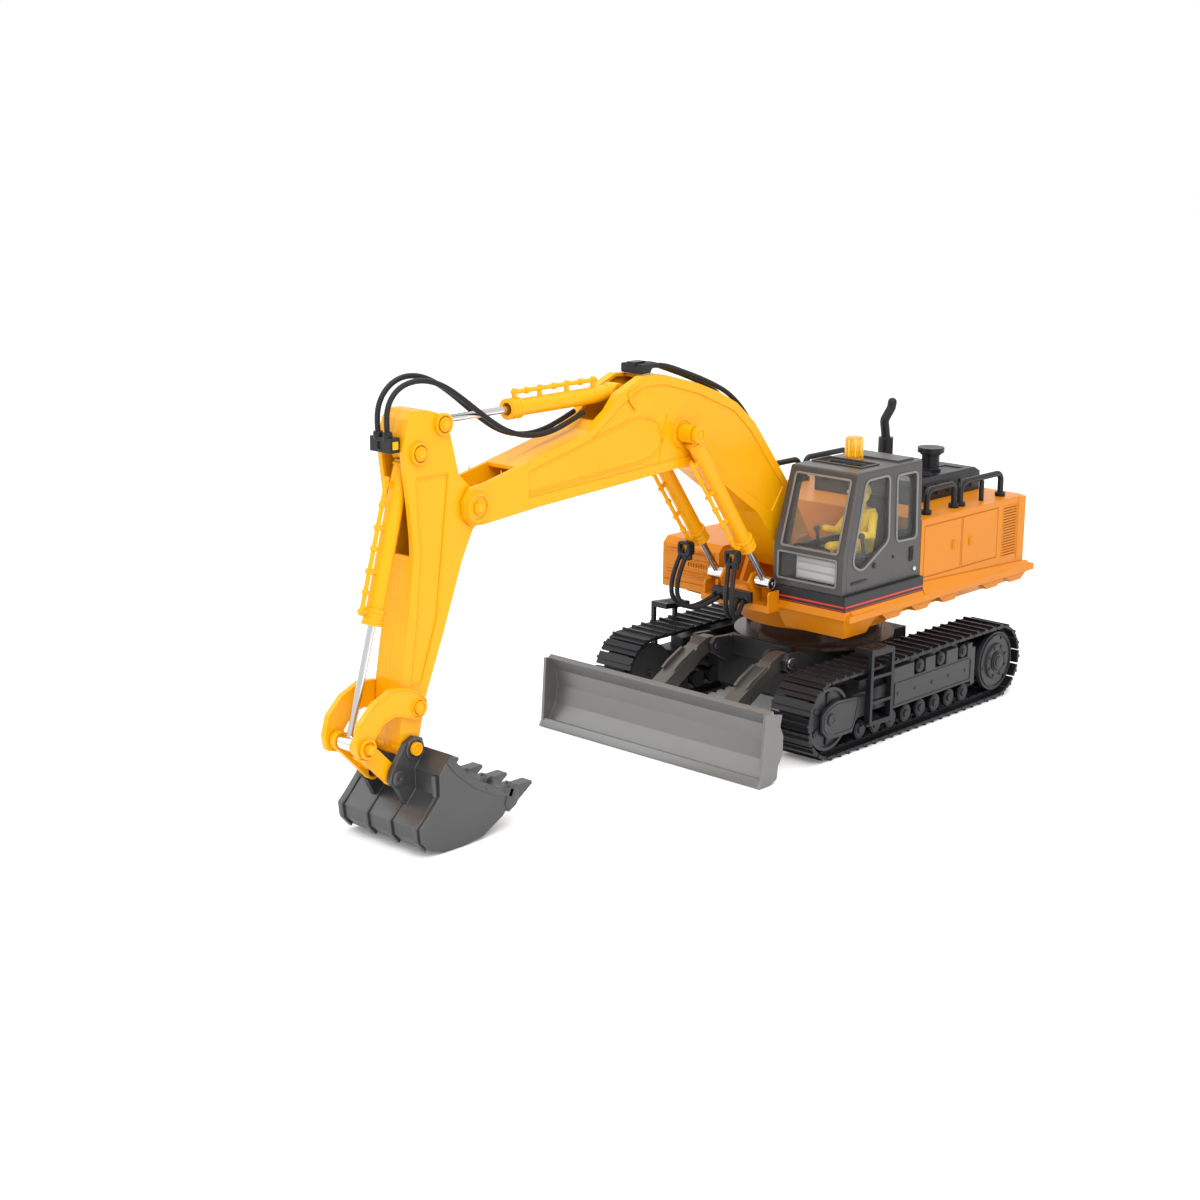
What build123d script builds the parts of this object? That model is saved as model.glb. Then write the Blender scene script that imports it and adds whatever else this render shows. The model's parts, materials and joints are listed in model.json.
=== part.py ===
from build123d import *
import math
import os

# A radio-controlled tracked excavator with a dozer blade.  All lengths are millimetres.
# The boom points along -Y, the operator's left is +X, up is +Z and the ground is z = 0.
# Lengths below are measured from the slew axis; every piece is moved by FRAME_SHIFT when it is
# written, which puts the origin on the ground under the middle of the whole machine.
os.makedirs("parts", exist_ok=True)

# ---- driving dimensions --------------------------------------------------------------
FRAME_SHIFT = 127.235         # from the slew axis to the middle of the machine
TRACK_GAUGE = 137.0          # centre to centre of the two tracks
SHOE_WIDTH = 28.0
SPROCKET_Y = 86.5
IDLER_Y = -89.5
WHEEL_Z = 24.5               # axle height, which is also the outer radius of the belt
SHOE_COUNT = 56
GROUSER = 1.2
SHOE_THICK = 1.8
BELT_INNER = 19.7            # inner radius of the chain round the wheels
WHEEL_RADIUS = 19.2
RUN_CLEAR = 0.4              # gap between a turning wheel and what is round it
CHASSIS_HALF = 34.0
CHASSIS_LOW = 17.0
CHASSIS_TOP = 45.5
WALL = 2.0

BLADE_HALF = 85.2
BLADE_PIVOT = (-71.5, 46.0)
BLADE_ARM_X = 28.0

SLEW_RADIUS = 42.5
SLEW_FLANGE = 50.0
SLEW_TOP = 57.6
TURNTABLE_RADIUS = 47.0
DECK_TOP = 79.5
DECK_HALF = 74.2
DECK_REAR = 135.5
DECK_FRONT = -67.0
NOSE_FRONT = -79.0
NOSE_HALF = 27.0
HOUSING_HALF = 69.5
HOUSING_FRONT = 11.8
HOUSING_REAR = 123.0
HOUSING_TOP = 125.0
CABINET_TOP = 106.0

CAB_BASE_Z = 82.2            # top of the plinth the cab stands on
CAB_X = (18.3, 72.3)         # width of the skirt round the cab's foot
CAB_Y = (-68.2, 11.5)
CAB_SHELL_X = (18.7, 69.2)
CAB_SHELL_Y = (-67.1, 11.2)
CAB_ROOF_X = (20.0, 67.9)
CAB_ROOF_FRONT = -54.0
CAB_SKIRT_TOP = 91.2
CAB_KINK_Z = 115.0           # the windscreen leans back above this height
CAB_ROOF_Z = 161.8
CAB_WALL = 2.2

BOOM_HALF = 12.5
BOOM_WALL = 2.5
BOOM_FOOT = (-34.0, 104.0)
ARM_PIVOT = (-306.0, 170.0)
LIFT_TOP = (-146.0, 190.0)   # boom cylinder pin on the boom
LIFT_FOOT = (-74.0, 92.5)    # boom cylinder pin on the house
LIFT_X = 17.8
CROWD_REAR = (-190.0, 216.0)  # arm cylinder pin on the boom
CROWD_FRONT = (-326.5, 214.8)  # arm cylinder pin on the arm

ARM_HALF = 9.5
CURL_TOP = (-343.0, 202.0)   # bucket cylinder pin on the arm
LEVER_PIN = (-348.0, 73.5)
LEVER_TIP = (-383.0, 59.5)
BUCKET_PIN = (-351.0, 52.5)
LINK_PIN = (-362.0, 39.0)
LINK_X = (5.7, 9.3)          # the link's cheeks
OUTER_X = (10.1, 13.1)       # the levers and the bucket's ears
BUCKET_HALF = 31.5
BUCKET_WALL = 1.8

PIN_RADIUS = 2.0
PIN_CLEAR = 0.08
ROD_RADIUS = 2.0
BARREL_RADIUS = 4.6
BARREL_BORE = 3.4
OPEN_PIN = 1.2               # pin that stands clear all round in its eye
OPEN_EYE_BORE = 2.9
HOSE_RADIUS = 1.5


# ---- helpers -------------------------------------------------------------------------
def block(x, y, z):
    """Box between the given pairs of limits."""
    size = [high - low for low, high in (x, y, z)]
    middle = [(high + low) / 2 for low, high in (x, y, z)]
    return Pos(*middle) * Box(*size)


def profile(outline, corner=0.0):
    """Closed flat face from (u, v) points, its corners rounded where a radius is given."""
    face = make_face(Polyline(*outline, close=True))
    if corner:
        face = fillet(face.vertices(), corner)
    return face


def plate(outline, x, corner=0.0):
    """Plate with a (y, z) outline between two x planes."""
    flat = Plane.YZ.offset(x[0]) * profile(outline, corner)
    return extrude(flat, amount=x[1] - x[0], dir=(1, 0, 0))


def cross_rod(centre, radius, x):
    """Cylinder along X at a (y, z) centre."""
    start = Plane(origin=(x[0], *centre), z_dir=(1, 0, 0))
    return start * Cylinder(radius, x[1] - x[0], align=(Align.CENTER, Align.CENTER, Align.MIN))


def tube(start, end, radius):
    """Cylinder from one point to another."""
    along = Vector(*end) - Vector(*start)
    place = Plane(origin=start, z_dir=along)
    return place * Cylinder(radius, along.length, align=(Align.CENTER, Align.CENTER, Align.MIN))


def post(x, y, z, radius):
    """Upright cylinder."""
    return tube((x, y, z[0]), (x, y, z[1]), radius)


def mirrored(shape):
    """The same piece on the other side of the machine."""
    return mirror(shape, about=Plane.YZ)


def both(shape):
    return [shape, mirrored(shape)]


def point_along(start, end, distance):
    """Point on the (y, z) line from start, at a distance from it."""
    length = math.dist(start, end)
    return tuple(a + (b - a) * distance / length for a, b in zip(start, end))


def save(name, *solids):
    shapes = [solid for group in solids for solid in (group if isinstance(group, list) else [group])]
    shapes = [shape.moved(Location((0, FRAME_SHIFT, 0))) for shape in shapes]
    whole = shapes[0] if len(shapes) == 1 else Compound(children=shapes)
    export_step(whole, f"parts/{name}.step")


# ---- undercarriage -------------------------------------------------------------------
def chassis_frame():
    body = block((-CHASSIS_HALF, CHASSIS_HALF), (-52, 52), (CHASSIS_LOW, CHASSIS_TOP))
    body -= block((-CHASSIS_HALF + WALL, CHASSIS_HALF - WALL), (-50, 50), (CHASSIS_LOW - 1, CHASSIS_TOP - WALL))
    track_inner = TRACK_GAUGE / 2 - SHOE_WIDTH / 2 + 3
    for y in ((-34, -14), (26, 46)):
        for leg in both(block((CHASSIS_HALF - 1, track_inner), y, (20, 36))):
            body += leg
    beam = block((-22, 22), (-54.5, -51), (37.4, 49.5))
    body += beam
    ear = [(-51, 33), (-51, 45.4), (-60, 50.5), (-73, 51.5), (-76.5, 48), (-75, 42), (-60, 34)]
    for x in (BLADE_ARM_X - 7.2, BLADE_ARM_X + 7.2):
        for side in both(plate(ear, (x - 1.4, x + 1.4))):
            body += side
        for bore in both(cross_rod(BLADE_PIVOT, PIN_RADIUS, (x - 2, x + 2))):
            body -= bore
    return body


def belly_cover():
    cover = block((-CHASSIS_HALF + 1, CHASSIS_HALF - 1), (-51, 51), (CHASSIS_LOW - 2.2, CHASSIS_LOW - 0.1))
    for x in (-28, 28):
        for y in (-45, 45):
            cover -= post(x, y, (CHASSIS_LOW - 3, CHASSIS_LOW - 1.2), 2.2)
            cover += post(x, y, (CHASSIS_LOW - 1.9, CHASSIS_LOW - 1.0), 1.7)
    cover -= block((-4, 4), (-27, -15), (CHASSIS_LOW - 3, CHASSIS_LOW + 1))
    return cover


def power_switch():
    knob = block((-3.4, 3.4), (-23.4, -18.6), (CHASSIS_LOW - 3.6, CHASSIS_LOW + 1.5))
    for y in (-22.4, -21, -19.6):
        knob -= block((-4, 4), (y - 0.3, y + 0.3), (CHASSIS_LOW - 4, CHASSIS_LOW - 3.1))
    return knob


def battery_pack():
    cell = tube((-27, 12, 31), (25, 12, 31), 9.4)
    cap = tube((25, 12, 31), (26.2, 12, 31), 3.0)
    lead_block = block((-27, -19), (-6, 1), (24, 30))
    return [cell + cap, lead_block]


def track_frame():
    inner = TRACK_GAUGE / 2 - 9
    outer = TRACK_GAUGE / 2 + 9
    beam = block((inner, outer), (-64, 62), (19.5, 33))
    beam += block((inner + 4, outer - 4), (-52, 58), (32, 38.5))
    beam -= block((outer - 4, outer), (-10, 52), (34.8, 39))
    side = [(-29, 18.2), (55, 18.2), (55, 43), (50.2, 43), (50.2, 34.8), (39, 34.8), (39, 43), (26.6, 43),
            (26.6, 34.8), (14.4, 34.8), (14.4, 43), (4.2, 43), (4.2, 34.8), (-8.2, 34.8), (-8.2, 43), (-29, 43)]
    beam += plate(side, (outer - 0.5, 82.0))
    beam += plate([(57, 15), (61, 15), (61, 39), (57, 39)], (outer - 1, 80.5))
    nose = [(-64, 33), (-64, 19.5), (-67.5, 17.5), (-68.5, 12.5), (-85, 12.5), (-93, 14), (-98, 19), (-98, 28), (-93, 32), (-85, 34.5)]
    beam += plate(nose, (79.6, 81.4), 2.0)
    beam += plate([(-65, 20), (-55, 20), (-55, 32), (-65, 32)], (outer - 1, 81.4))
    beam -= cross_rod((IDLER_Y, WHEEL_Z), PIN_RADIUS + PIN_CLEAR, (78, 83))
    return beam


def step_ladder():
    """Boarding ladder outboard of the track, with a tread over the top run."""
    outer = (83.1, 85.6)
    frame = plate([(-57.5, 14.8), (-34.6, 13.4), (-34.6, 58.4), (-57.5, 60.2)], outer)
    for low, high in ((16.2, 26.6), (28.4, 41.8), (43.6, 55.6)):
        frame -= plate([(-55.2, low + 0.4), (-37, low), (-37, high), (-55.2, high + 0.4)], (outer[0] - 1, outer[1] + 1))
    for y in ((-57.5, -55.2), (-37, -34.6)):
        frame += block((81.7, 83.3), y, (15.5, 42))
    tread = plate([(-57.5, 56.8), (-34.6, 55), (-34.6, 58.4), (-57.5, 60.2)], (73, outer[0]))
    for x in (74.2, 77.2, 80.2):
        tread -= plate([(-54.5, 59), (-37.5, 57.6), (-37.5, 62), (-54.5, 64)], (x, x + 1.6))
    foot = plate([(-57.5, 13.4), (-34.6, 12), (-34.6, 15.5), (-57.5, 16.5)], (81.8, outer[0] + 0.5))
    return frame + tread + foot


def roller(y, z, radius, x):
    """Track roller with flanges and a domed end cap."""
    wheel = cross_rod((y, z), radius - 0.9, x)
    wheel += cross_rod((y, z), radius, (x[0], x[0] + 2))
    wheel += cross_rod((y, z), radius, (x[1] - 2.4, x[1] - 0.4))
    wheel += cross_rod((y, z), radius * 0.45, (x[1] - 1, x[1] + 0.8))
    return wheel


def track_rollers():
    spacing = 15.5
    lower = [roller(-59.3 + spacing * i, 11.6, 5.4, (57, 80.6)) for i in range(8)]
    upper = [roller(y, 39.4, 4.1, (79.2, 82.4)) for y in (-2, 20.6, 44.6)]
    return [piece for solid in lower + upper for piece in both(solid)]


def belt_band(radius, centre):
    """Solid with the belt's stadium outline, as wide as the chain."""
    x = (centre - 8.2, centre + 8.2)
    low, high = WHEEL_Z - radius, WHEEL_Z + radius
    straight = plate([(IDLER_Y, low), (SPROCKET_Y, low), (SPROCKET_Y, high), (IDLER_Y, high)], x)
    return straight + cross_rod((IDLER_Y, WHEEL_Z), radius, x) + cross_rod((SPROCKET_Y, WHEEL_Z), radius, x)


def track_belt(side):
    """Closed belt of shoes on a chain, each with a grouser bar and a pair of chain lugs."""
    pitch_radius = WHEEL_Z - GROUSER - SHOE_THICK
    run = SPROCKET_Y - IDLER_Y
    length = 2 * run + 2 * math.pi * pitch_radius
    pitch = length / SHOE_COUNT
    centre = side * TRACK_GAUGE / 2
    band = belt_band(pitch_radius + 0.3, centre) - belt_band(pitch_radius - 1.0, centre)
    shoes = []
    for i in range(SHOE_COUNT):
        s = i * pitch
        if s < run:
            y, z, turn = IDLER_Y + s, WHEEL_Z - pitch_radius, 0.0
        elif s < run + math.pi * pitch_radius:
            angle = (s - run) / pitch_radius
            y, z = SPROCKET_Y + pitch_radius * math.sin(angle), WHEEL_Z - pitch_radius * math.cos(angle)
            turn = math.degrees(angle)
        elif s < 2 * run + math.pi * pitch_radius:
            y, z, turn = SPROCKET_Y - (s - run - math.pi * pitch_radius), WHEEL_Z + pitch_radius, 180.0
        else:
            angle = math.pi + (s - 2 * run - math.pi * pitch_radius) / pitch_radius
            y, z = IDLER_Y + pitch_radius * math.sin(angle), WHEEL_Z - pitch_radius * math.cos(angle)
            turn = math.degrees(angle)
        shoe = block((-SHOE_WIDTH / 2, SHOE_WIDTH / 2), (-pitch * 0.46, pitch * 0.46), (-SHOE_THICK, 0))
        shoe += block((-SHOE_WIDTH / 2, SHOE_WIDTH / 2), (-0.8, 0.8), (-SHOE_THICK - GROUSER, -SHOE_THICK + 0.1))
        lug_top = pitch_radius - BELT_INNER
        for x in (-6.5, 6.5):
            shoe += block((x - 1.6, x + 1.6), (-pitch * 0.36, pitch * 0.36), (-0.1, lug_top))
        shoes.append(Pos(centre, y, z) * Rot(turn, 0, 0) * shoe)
    return band.fuse(*shoes)


def running_wheel(y, sprocket):
    """Sprocket or idler on its own axle, left-hand side of the machine."""
    middle = TRACK_GAUGE / 2
    wheel = cross_rod((y, WHEEL_Z), WHEEL_RADIUS - 4.5, (middle - 11, middle + 9))
    for x in ((middle - 11, middle - 8.6), (middle + 8.2, middle + 11)):
        wheel += cross_rod((y, WHEEL_Z), WHEEL_RADIUS - 0.3, x)
    wheel += cross_rod((y, WHEEL_Z), PIN_RADIUS, (middle - 13, 82.0))
    if sprocket:
        wheel += cross_rod((y, WHEEL_Z), 11.5, (middle + 10, middle + 12.2))
        wheel += cross_rod((y, WHEEL_Z), 5.0, (middle + 12, middle + 13.6))
        for i in range(8):
            angle = math.radians(45 * i)
            spot = (y + 8.4 * math.sin(angle), WHEEL_Z + 8.4 * math.cos(angle))
            wheel -= cross_rod(spot, 0.7, (middle + 11.2, middle + 13))
        for i in range(3):
            angle = math.radians(120 * i + 20)
            spot = (y + 15.2 * math.sin(angle), WHEEL_Z + 15.2 * math.cos(angle))
            wheel -= cross_rod(spot, 1.1, (middle + 10, middle + 12))
    else:
        wheel -= cross_rod((y, WHEEL_Z), WHEEL_RADIUS - 2.2, (middle + 9.4, middle + 12))
        wheel += cross_rod((y, WHEEL_Z), 6.0, (middle + 9, middle + 11))
        wheel += cross_rod((y, WHEEL_Z), PIN_RADIUS, (middle + 8, 82.0))
    return wheel


def travel_motors():
    bore = PIN_RADIUS + PIN_CLEAR
    case = cross_rod((SPROCKET_Y, WHEEL_Z), 13.5, (33, 53.5))
    case += block((24, 44), (48, SPROCKET_Y), (19, 33))
    case -= cross_rod((SPROCKET_Y, WHEEL_Z), bore, (50, 56))
    case -= block((20, 36), (40, 53), (10, 50))
    return both(case)


def slew_ring():
    """Flanged ring the house turns on, with a hub over the chassis."""
    ring = post(0, 0, (CHASSIS_TOP, CHASSIS_TOP + 2.2), SLEW_FLANGE)
    ring += post(0, 0, (CHASSIS_TOP, SLEW_TOP), SLEW_RADIUS)
    ring -= post(0, 0, (CHASSIS_TOP + 3, SLEW_TOP + 1), SLEW_RADIUS - 6)
    ring += post(0, 0, (CHASSIS_TOP, SLEW_TOP), 9)
    return ring


def blade():
    front = [(-152.2, 41.8), (-147.5, 34), (-145.6, 24), (-147.4, 13), (-153, 4), (-158.8, 0.5)]
    back = [(-157.5, 0.5), (-151, 2.2), (-145, 11.5), (-143, 24), (-144.8, 35), (-149.5, 43.4)]
    shell = plate(front + back, (-BLADE_HALF, BLADE_HALF))
    end = [(-155.6, 42.6), (-141, 39.5), (-142.6, 33), (-139.6, 27), (-139.8, 16), (-143.6, 10), (-144.5, 3),
           (-150, 0.6), (-160, 0.5), (-158, 4)]
    for wing in both(plate(end, (BLADE_HALF - 1.8, BLADE_HALF))):
        shell += wing
    gusset = [(-147, 3), (-130, 10), (-126, 22), (-144, 38)]
    for x in (BLADE_ARM_X - 4.9, BLADE_ARM_X + 3.3, 62):
        for rib in both(plate(gusset, (x, x + 1.6))):
            shell += rib
    tall = [(-147, 3), (-124, 9), (-121, 24), (-125, 29), (-144, 38)]
    for rib in both(plate(tall, (19.2, 20.8))):
        shell += rib
    return shell


def blade_arm():
    """Stepped push arm from the blade to its pivot on the chassis."""
    side = [(-142.9, 8), (-142.9, 17), (-107, 35.5), (-88, 45), (-84, 48), (-76, 51), (-69, 51), (-66, 47),
            (-67, 42.5), (-76, 41), (-88, 35), (-104, 26)]
    bar = plate(side, (BLADE_ARM_X - 5.2, BLADE_ARM_X + 5.2))
    bar -= plate([(-140, 6), (-82, 36), (-82, 40), (-140, 13)], (BLADE_ARM_X - 3.6, BLADE_ARM_X + 3.6))
    bar -= block((BLADE_ARM_X - 7, BLADE_ARM_X - 2.8), (-150, -125), (0, 50))
    bar -= block((BLADE_ARM_X + 2.8, BLADE_ARM_X + 7), (-150, -125), (0, 50))
    for side_cut in ((BLADE_ARM_X - 7, BLADE_ARM_X - 4.2), (BLADE_ARM_X + 4.2, BLADE_ARM_X + 7)):
        bar -= block(side_cut, (-86, -60), (30, 60))
    bar -= cross_rod(BLADE_PIVOT, PIN_RADIUS + PIN_CLEAR, (BLADE_ARM_X - 8, BLADE_ARM_X + 8))
    return bar


def blade_pin():
    head = cross_rod(BLADE_PIVOT, 3.4, (BLADE_ARM_X + 8.7, BLADE_ARM_X + 10.2))
    return head + cross_rod(BLADE_PIVOT, PIN_RADIUS, (BLADE_ARM_X - 8.6, BLADE_ARM_X + 9))


# ---- house ---------------------------------------------------------------------------
def house_deck():
    """Turntable, tapered skirt and deck, with the boom and cylinder brackets."""
    outline = [(-DECK_HALF + 6, DECK_FRONT), (-NOSE_HALF - 4, DECK_FRONT), (-NOSE_HALF, NOSE_FRONT),
               (NOSE_HALF - 2, NOSE_FRONT), (NOSE_HALF - 2, CAB_Y[0] + 3), (DECK_HALF, CAB_Y[0] + 3),
               (DECK_HALF, DECK_REAR), (-DECK_HALF, DECK_REAR), (-DECK_HALF, DECK_FRONT + 8)]
    deck = extrude(Plane.XY.offset(75.4) * profile(outline), amount=DECK_TOP - 75.4)
    plinth = [(CAB_X[0] + 0.8, CAB_Y[0]), (CAB_X[1], CAB_Y[0]), (CAB_X[1], CAB_Y[1]), (CAB_X[0] + 0.8, CAB_Y[1])]
    deck += extrude(Plane.XY.offset(CAB_BASE_Z) * profile(plinth), amount=-5)
    apron = [(CAB_X[0] + 0.8, CAB_Y[0]), (CAB_X[1], CAB_Y[0]), (DECK_HALF, -60), (DECK_HALF, -34), (CAB_X[0] + 0.8, -34)]
    deck += extrude(Plane.XY.offset(CAB_BASE_Z - 2.2) * profile(apron), amount=-15.2, taper=22)
    flank = [(-64, -55), (-30, -60), (40, -40), (70, -40), (70, 60), (-70, 60)]
    deck += extrude(Plane.XY.offset(75.8) * profile(flank), amount=-5.5, taper=30)
    rear = extrude(Plane.XY.offset(75.8) * profile([(-70, 50), (70, 50), (70, 131), (-70, 131)]), amount=-7, taper=30)
    deck += rear
    deck += post(0, 0, (SLEW_TOP + 0.4, 76), TURNTABLE_RADIUS)
    lug = [(0, 76), (7, 70.5), (19, 70.5), (27, 76)]
    for start in (-32, -2, 28, 76, 104):
        for side in both(plate([(start + y, z) for y, z in lug], (58, 72.4))):
            deck += side
    cab_ledge = [(CAB_X[1] - 0.2, 79), (CAB_X[1] - 0.2, CAB_BASE_Z), (CAB_X[1], CAB_BASE_Z), (DECK_HALF, 79.4), (DECK_HALF, 79)]
    deck += extrude(Plane.XZ.offset(62) * profile(cab_ledge), amount=-73.4)
    front = Plane.XZ.offset(-HOUSING_FRONT) * profile([(69.6, 79), (69.6, 86.8), (70.4, 86.8), (DECK_HALF, 79.6), (DECK_HALF, 79)])
    back = Plane.XZ.offset(-132) * profile([(69.6, 79), (69.6, 81.6), (70.4, 81.6), (DECK_HALF, 79.6), (DECK_HALF, 79)])
    for ledge in both(loft([front, back], ruled=True)):
        deck += ledge
    nose = [(NOSE_FRONT, 76), (NOSE_FRONT, 87), (NOSE_FRONT + 3, 88.5), (-66, 88.5), (-66, 76)]
    deck += plate(nose, (-9.5, 9.5))
    ear = [(-79, 78), (-79, 88), (-81, 92), (-77, 97.5), (-71, 97.5), (-69.3, 94), (-69.3, 78)]
    low_ear = [(-79, 78), (-79, 86.5), (-78, 88), (-69.3, 88), (-69.3, 78)]
    for side in both(plate(ear, (9.6, 11.2))) + both(plate(low_ear, (23.8, 25.0))):
        deck += side
    bracket = [(-60, 78), (-47, 106), (-40, 114), (-30, 115), (-23, 108), (-8, 78)]
    for side in both(plate(bracket, (BOOM_HALF + 0.6, BOOM_HALF + 3.4))):
        deck += side
    for side in both(cross_rod(BOOM_FOOT, PIN_RADIUS + 1, (BOOM_HALF, BOOM_HALF + 4))):
        deck -= side
    for side in both(cross_rod(LIFT_FOOT, OPEN_PIN, (9, 12))):
        deck -= side
    return deck


def engine_housing():
    """Rear body shell with louvred, panelled sides."""
    outer = block((-HOUSING_HALF, HOUSING_HALF), (HOUSING_FRONT, HOUSING_REAR), (DECK_TOP, HOUSING_TOP))
    shell = outer - block((-HOUSING_HALF + WALL, HOUSING_HALF - WALL), (HOUSING_FRONT + WALL, HOUSING_REAR - WALL),
                          (DECK_TOP - 1, HOUSING_TOP - WALL))
    depth = 0.5
    for panel in ((HOUSING_FRONT + 3, 55.8), (56.6, 97)):
        groove = block((HOUSING_HALF - depth, HOUSING_HALF + 1), panel, (88.5, 121))
        groove -= block((HOUSING_HALF - 2, HOUSING_HALF + 2), (panel[0] + 0.7, panel[1] - 0.7), (89.2, 120.3))
        for cut in both(groove):
            shell -= cut
    for i in range(18):
        z = 88 + 1.8 * i
        for cut in both(block((HOUSING_HALF - 1, HOUSING_HALF + 1), (103.5, 118.5), (z, z + 0.8))):
            shell -= cut
    return shell


def counterweight():
    outline = [(-HOUSING_HALF, HOUSING_REAR + 0.05), (HOUSING_HALF, HOUSING_REAR + 0.05), (HOUSING_HALF, 129),
               (HOUSING_HALF - 8, 133), (-HOUSING_HALF + 8, 133), (-HOUSING_HALF, 129)]
    weight = extrude(Plane.XY.offset(DECK_TOP) * profile(outline), amount=HOUSING_TOP - DECK_TOP - 1)
    weight -= block((-45, 45), (132.2, 140), (90, 116))
    for x in (-28, 28):
        weight += tube((x, 132, 85), (x, 134, 85), 2.6)
    return weight


def right_cabinet():
    x = (-HOUSING_HALF, -24.5)
    y = (-65.5, HOUSING_FRONT - 0.05)
    box = block(x, y, (DECK_TOP, CABINET_TOP))
    box = chamfer(box.edges().filter_by(Axis.X).group_by(Axis.Z)[-1].sort_by(Axis.Y)[0], 4)
    box -= block((x[0] + WALL, x[1] - WALL), (y[0] + WALL, y[1] - WALL), (DECK_TOP - 1, CABINET_TOP - 6))
    box -= block((-50, -33), (y[0] - 1, y[0] + 1), (94.5, 98.5))
    for i in range(8):
        box -= block((-49 + 2 * i, -48 + 2 * i), (y[0] - 1, y[0] + 1), (90, 92.5))
    return box


def engine_hood():
    hood = block((-36, 38), (44, 122.5), (HOUSING_TOP + 0.05, 139.5))
    hood = chamfer(hood.edges().group_by(Axis.Z)[-1], 2.5)
    for i in range(5):
        y = 52 + 13 * i
        hood -= block((37.2, 40), (y, y + 9), (128, 135))
    for i in range(3):
        x = -22 + 20 * i
        hood -= block((x, x + 14), (92, 112), (138.9, 141))
    return hood


def air_cleaner():
    x, y, base = 22.0, 89.0, 139.55
    bowl = post(x, y, (base, base + 1.6), 6.8)
    bowl += post(x, y, (base + 1, base + 11), 5.7)
    bowl += post(x, y, (base + 10.5, base + 12), 6.8)
    bowl += post(x, y, (base + 11.8, base + 15), 8.6)
    cap = post(29.5, 71.5, (base, base + 1.2), 5.0) + post(29.5, 71.5, (base + 1, base + 2.4), 3.6)
    return [bowl, cap]


def exhaust_stack():
    x, y, base = 0.0, 70.0, 139.55
    stack = post(x, y, (base, base + 2), 5.8)
    stack += post(x, y, (base + 1, base + 21), 4.8)
    route = FilletPolyline((x, y, base + 20), (x - 0.8, y - 1.4, base + 32), (x + 1.6, y + 2.4, base + 40),
                           (x + 1.8, y + 2.8, base + 43.4), radius=5.0)
    pipe = sweep(Plane(origin=route @ 0, z_dir=route % 0) * Circle(2.9), route)
    pipe += Pos(x + 1.8, y + 2.8, base + 43.4) * Sphere(2.9)
    return stack + pipe


def handrail(y, x):
    """Inverted U of bent tube with flanged feet."""
    top, low, bend, radius = 140.0, HOUSING_TOP + 0.05, 5.0, 1.9
    path = FilletPolyline((x, y[0], low), (x, y[0], top), (x, y[1], top), (x, y[1], low), radius=bend)
    rail = sweep(Plane(origin=(x, y[0], low), z_dir=(0, 0, 1)) * Circle(radius), path)
    for end in y:
        rail += post(x, end, (low, low + 2.6), 3.3)
    return rail


def handrails():
    rails = []
    for y in ((29, 59), (66, 112)):
        rails += both(handrail(y, 60.5))
    rails += both(post(60.5, 90, (HOUSING_TOP + 0.05, 137.9), 1.6))
    return rails


def cab_skirt():
    skirt = block(CAB_X, CAB_Y, (CAB_BASE_Z + 0.05, CAB_SKIRT_TOP))
    skirt -= block((CAB_X[0] + 3, CAB_X[1] - 3), (CAB_Y[0] + 3, CAB_Y[1] - 3), (CAB_BASE_Z + 2, CAB_SKIRT_TOP + 1))
    return skirt


def cab_section(x, y, z, inset):
    corners = [(x[0] + inset, y[0] + inset), (x[1] - inset, y[0] + inset), (x[1] - inset, y[1] - inset),
               (x[0] + inset, y[1] - inset)]
    return Plane.XY.offset(z) * profile(corners)


def cab_body(inset):
    """Cab volume with an upright foot and a leaning windscreen, drawn in by a distance on every side."""
    low = cab_section(CAB_SHELL_X, CAB_SHELL_Y, CAB_SKIRT_TOP + 0.05, inset)
    kink = cab_section(CAB_SHELL_X, CAB_SHELL_Y, CAB_KINK_Z, inset)
    roof = cab_section(CAB_ROOF_X, (CAB_ROOF_FRONT, CAB_SHELL_Y[1]), CAB_ROOF_Z - inset, inset)
    return loft([low, kink, roof], ruled=True)


def rounded_prism(x, y, z, axis, corner):
    prism = block(x, y, z)
    return fillet(prism.edges().filter_by(axis), corner)


def cab_openings(grow):
    """Prisms through the windscreen, lower screen, doors, side lights, rear light and roof hatch."""
    door = [(-57.3 - grow, 108.2 - grow), (-45.0 - grow, 156 + grow), (-22.8 + grow, 156.4 + grow),
            (-23 + grow, 118 - grow), (-49 + grow, 104.2 - grow)]
    light = [(-13.6 - grow, 116.6 - grow), (-13.6 - grow, 155 + grow), (5.6 + grow, 155 + grow), (5.6 + grow, 116 - grow)]
    far_side = [(-55 - grow, 112 - grow), (-45.5 - grow, 154 + grow), (5 + grow, 154 + grow), (5 + grow, 112 - grow)]
    front = rounded_prism((24.4 - grow, 64.4 + grow), (-80, -40), (116 - grow, 157.4 + grow), Axis.Y, 1.6)
    lower = rounded_prism((22.4 - grow, 64.0 + grow), (-80, -50), (96.2 - grow, 111.2 + grow), Axis.Y, 1.2)
    rear = rounded_prism((28 - grow, 61 + grow), (5, 20), (118 - grow, 151 + grow), Axis.Y, 2.0)
    hatch = rounded_prism((23.5 - grow, 58.5 + grow), (-38 - grow, -21 + grow), (150, 170), Axis.Z, 1.2)
    middle = (CAB_X[0] + CAB_X[1]) / 2
    sides = [plate(door, (middle, 80), 3.4), plate(light, (middle, 80), 3.0), plate(far_side, (10, middle), 3.0)]
    return [front, lower, rear, hatch] + sides


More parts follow.
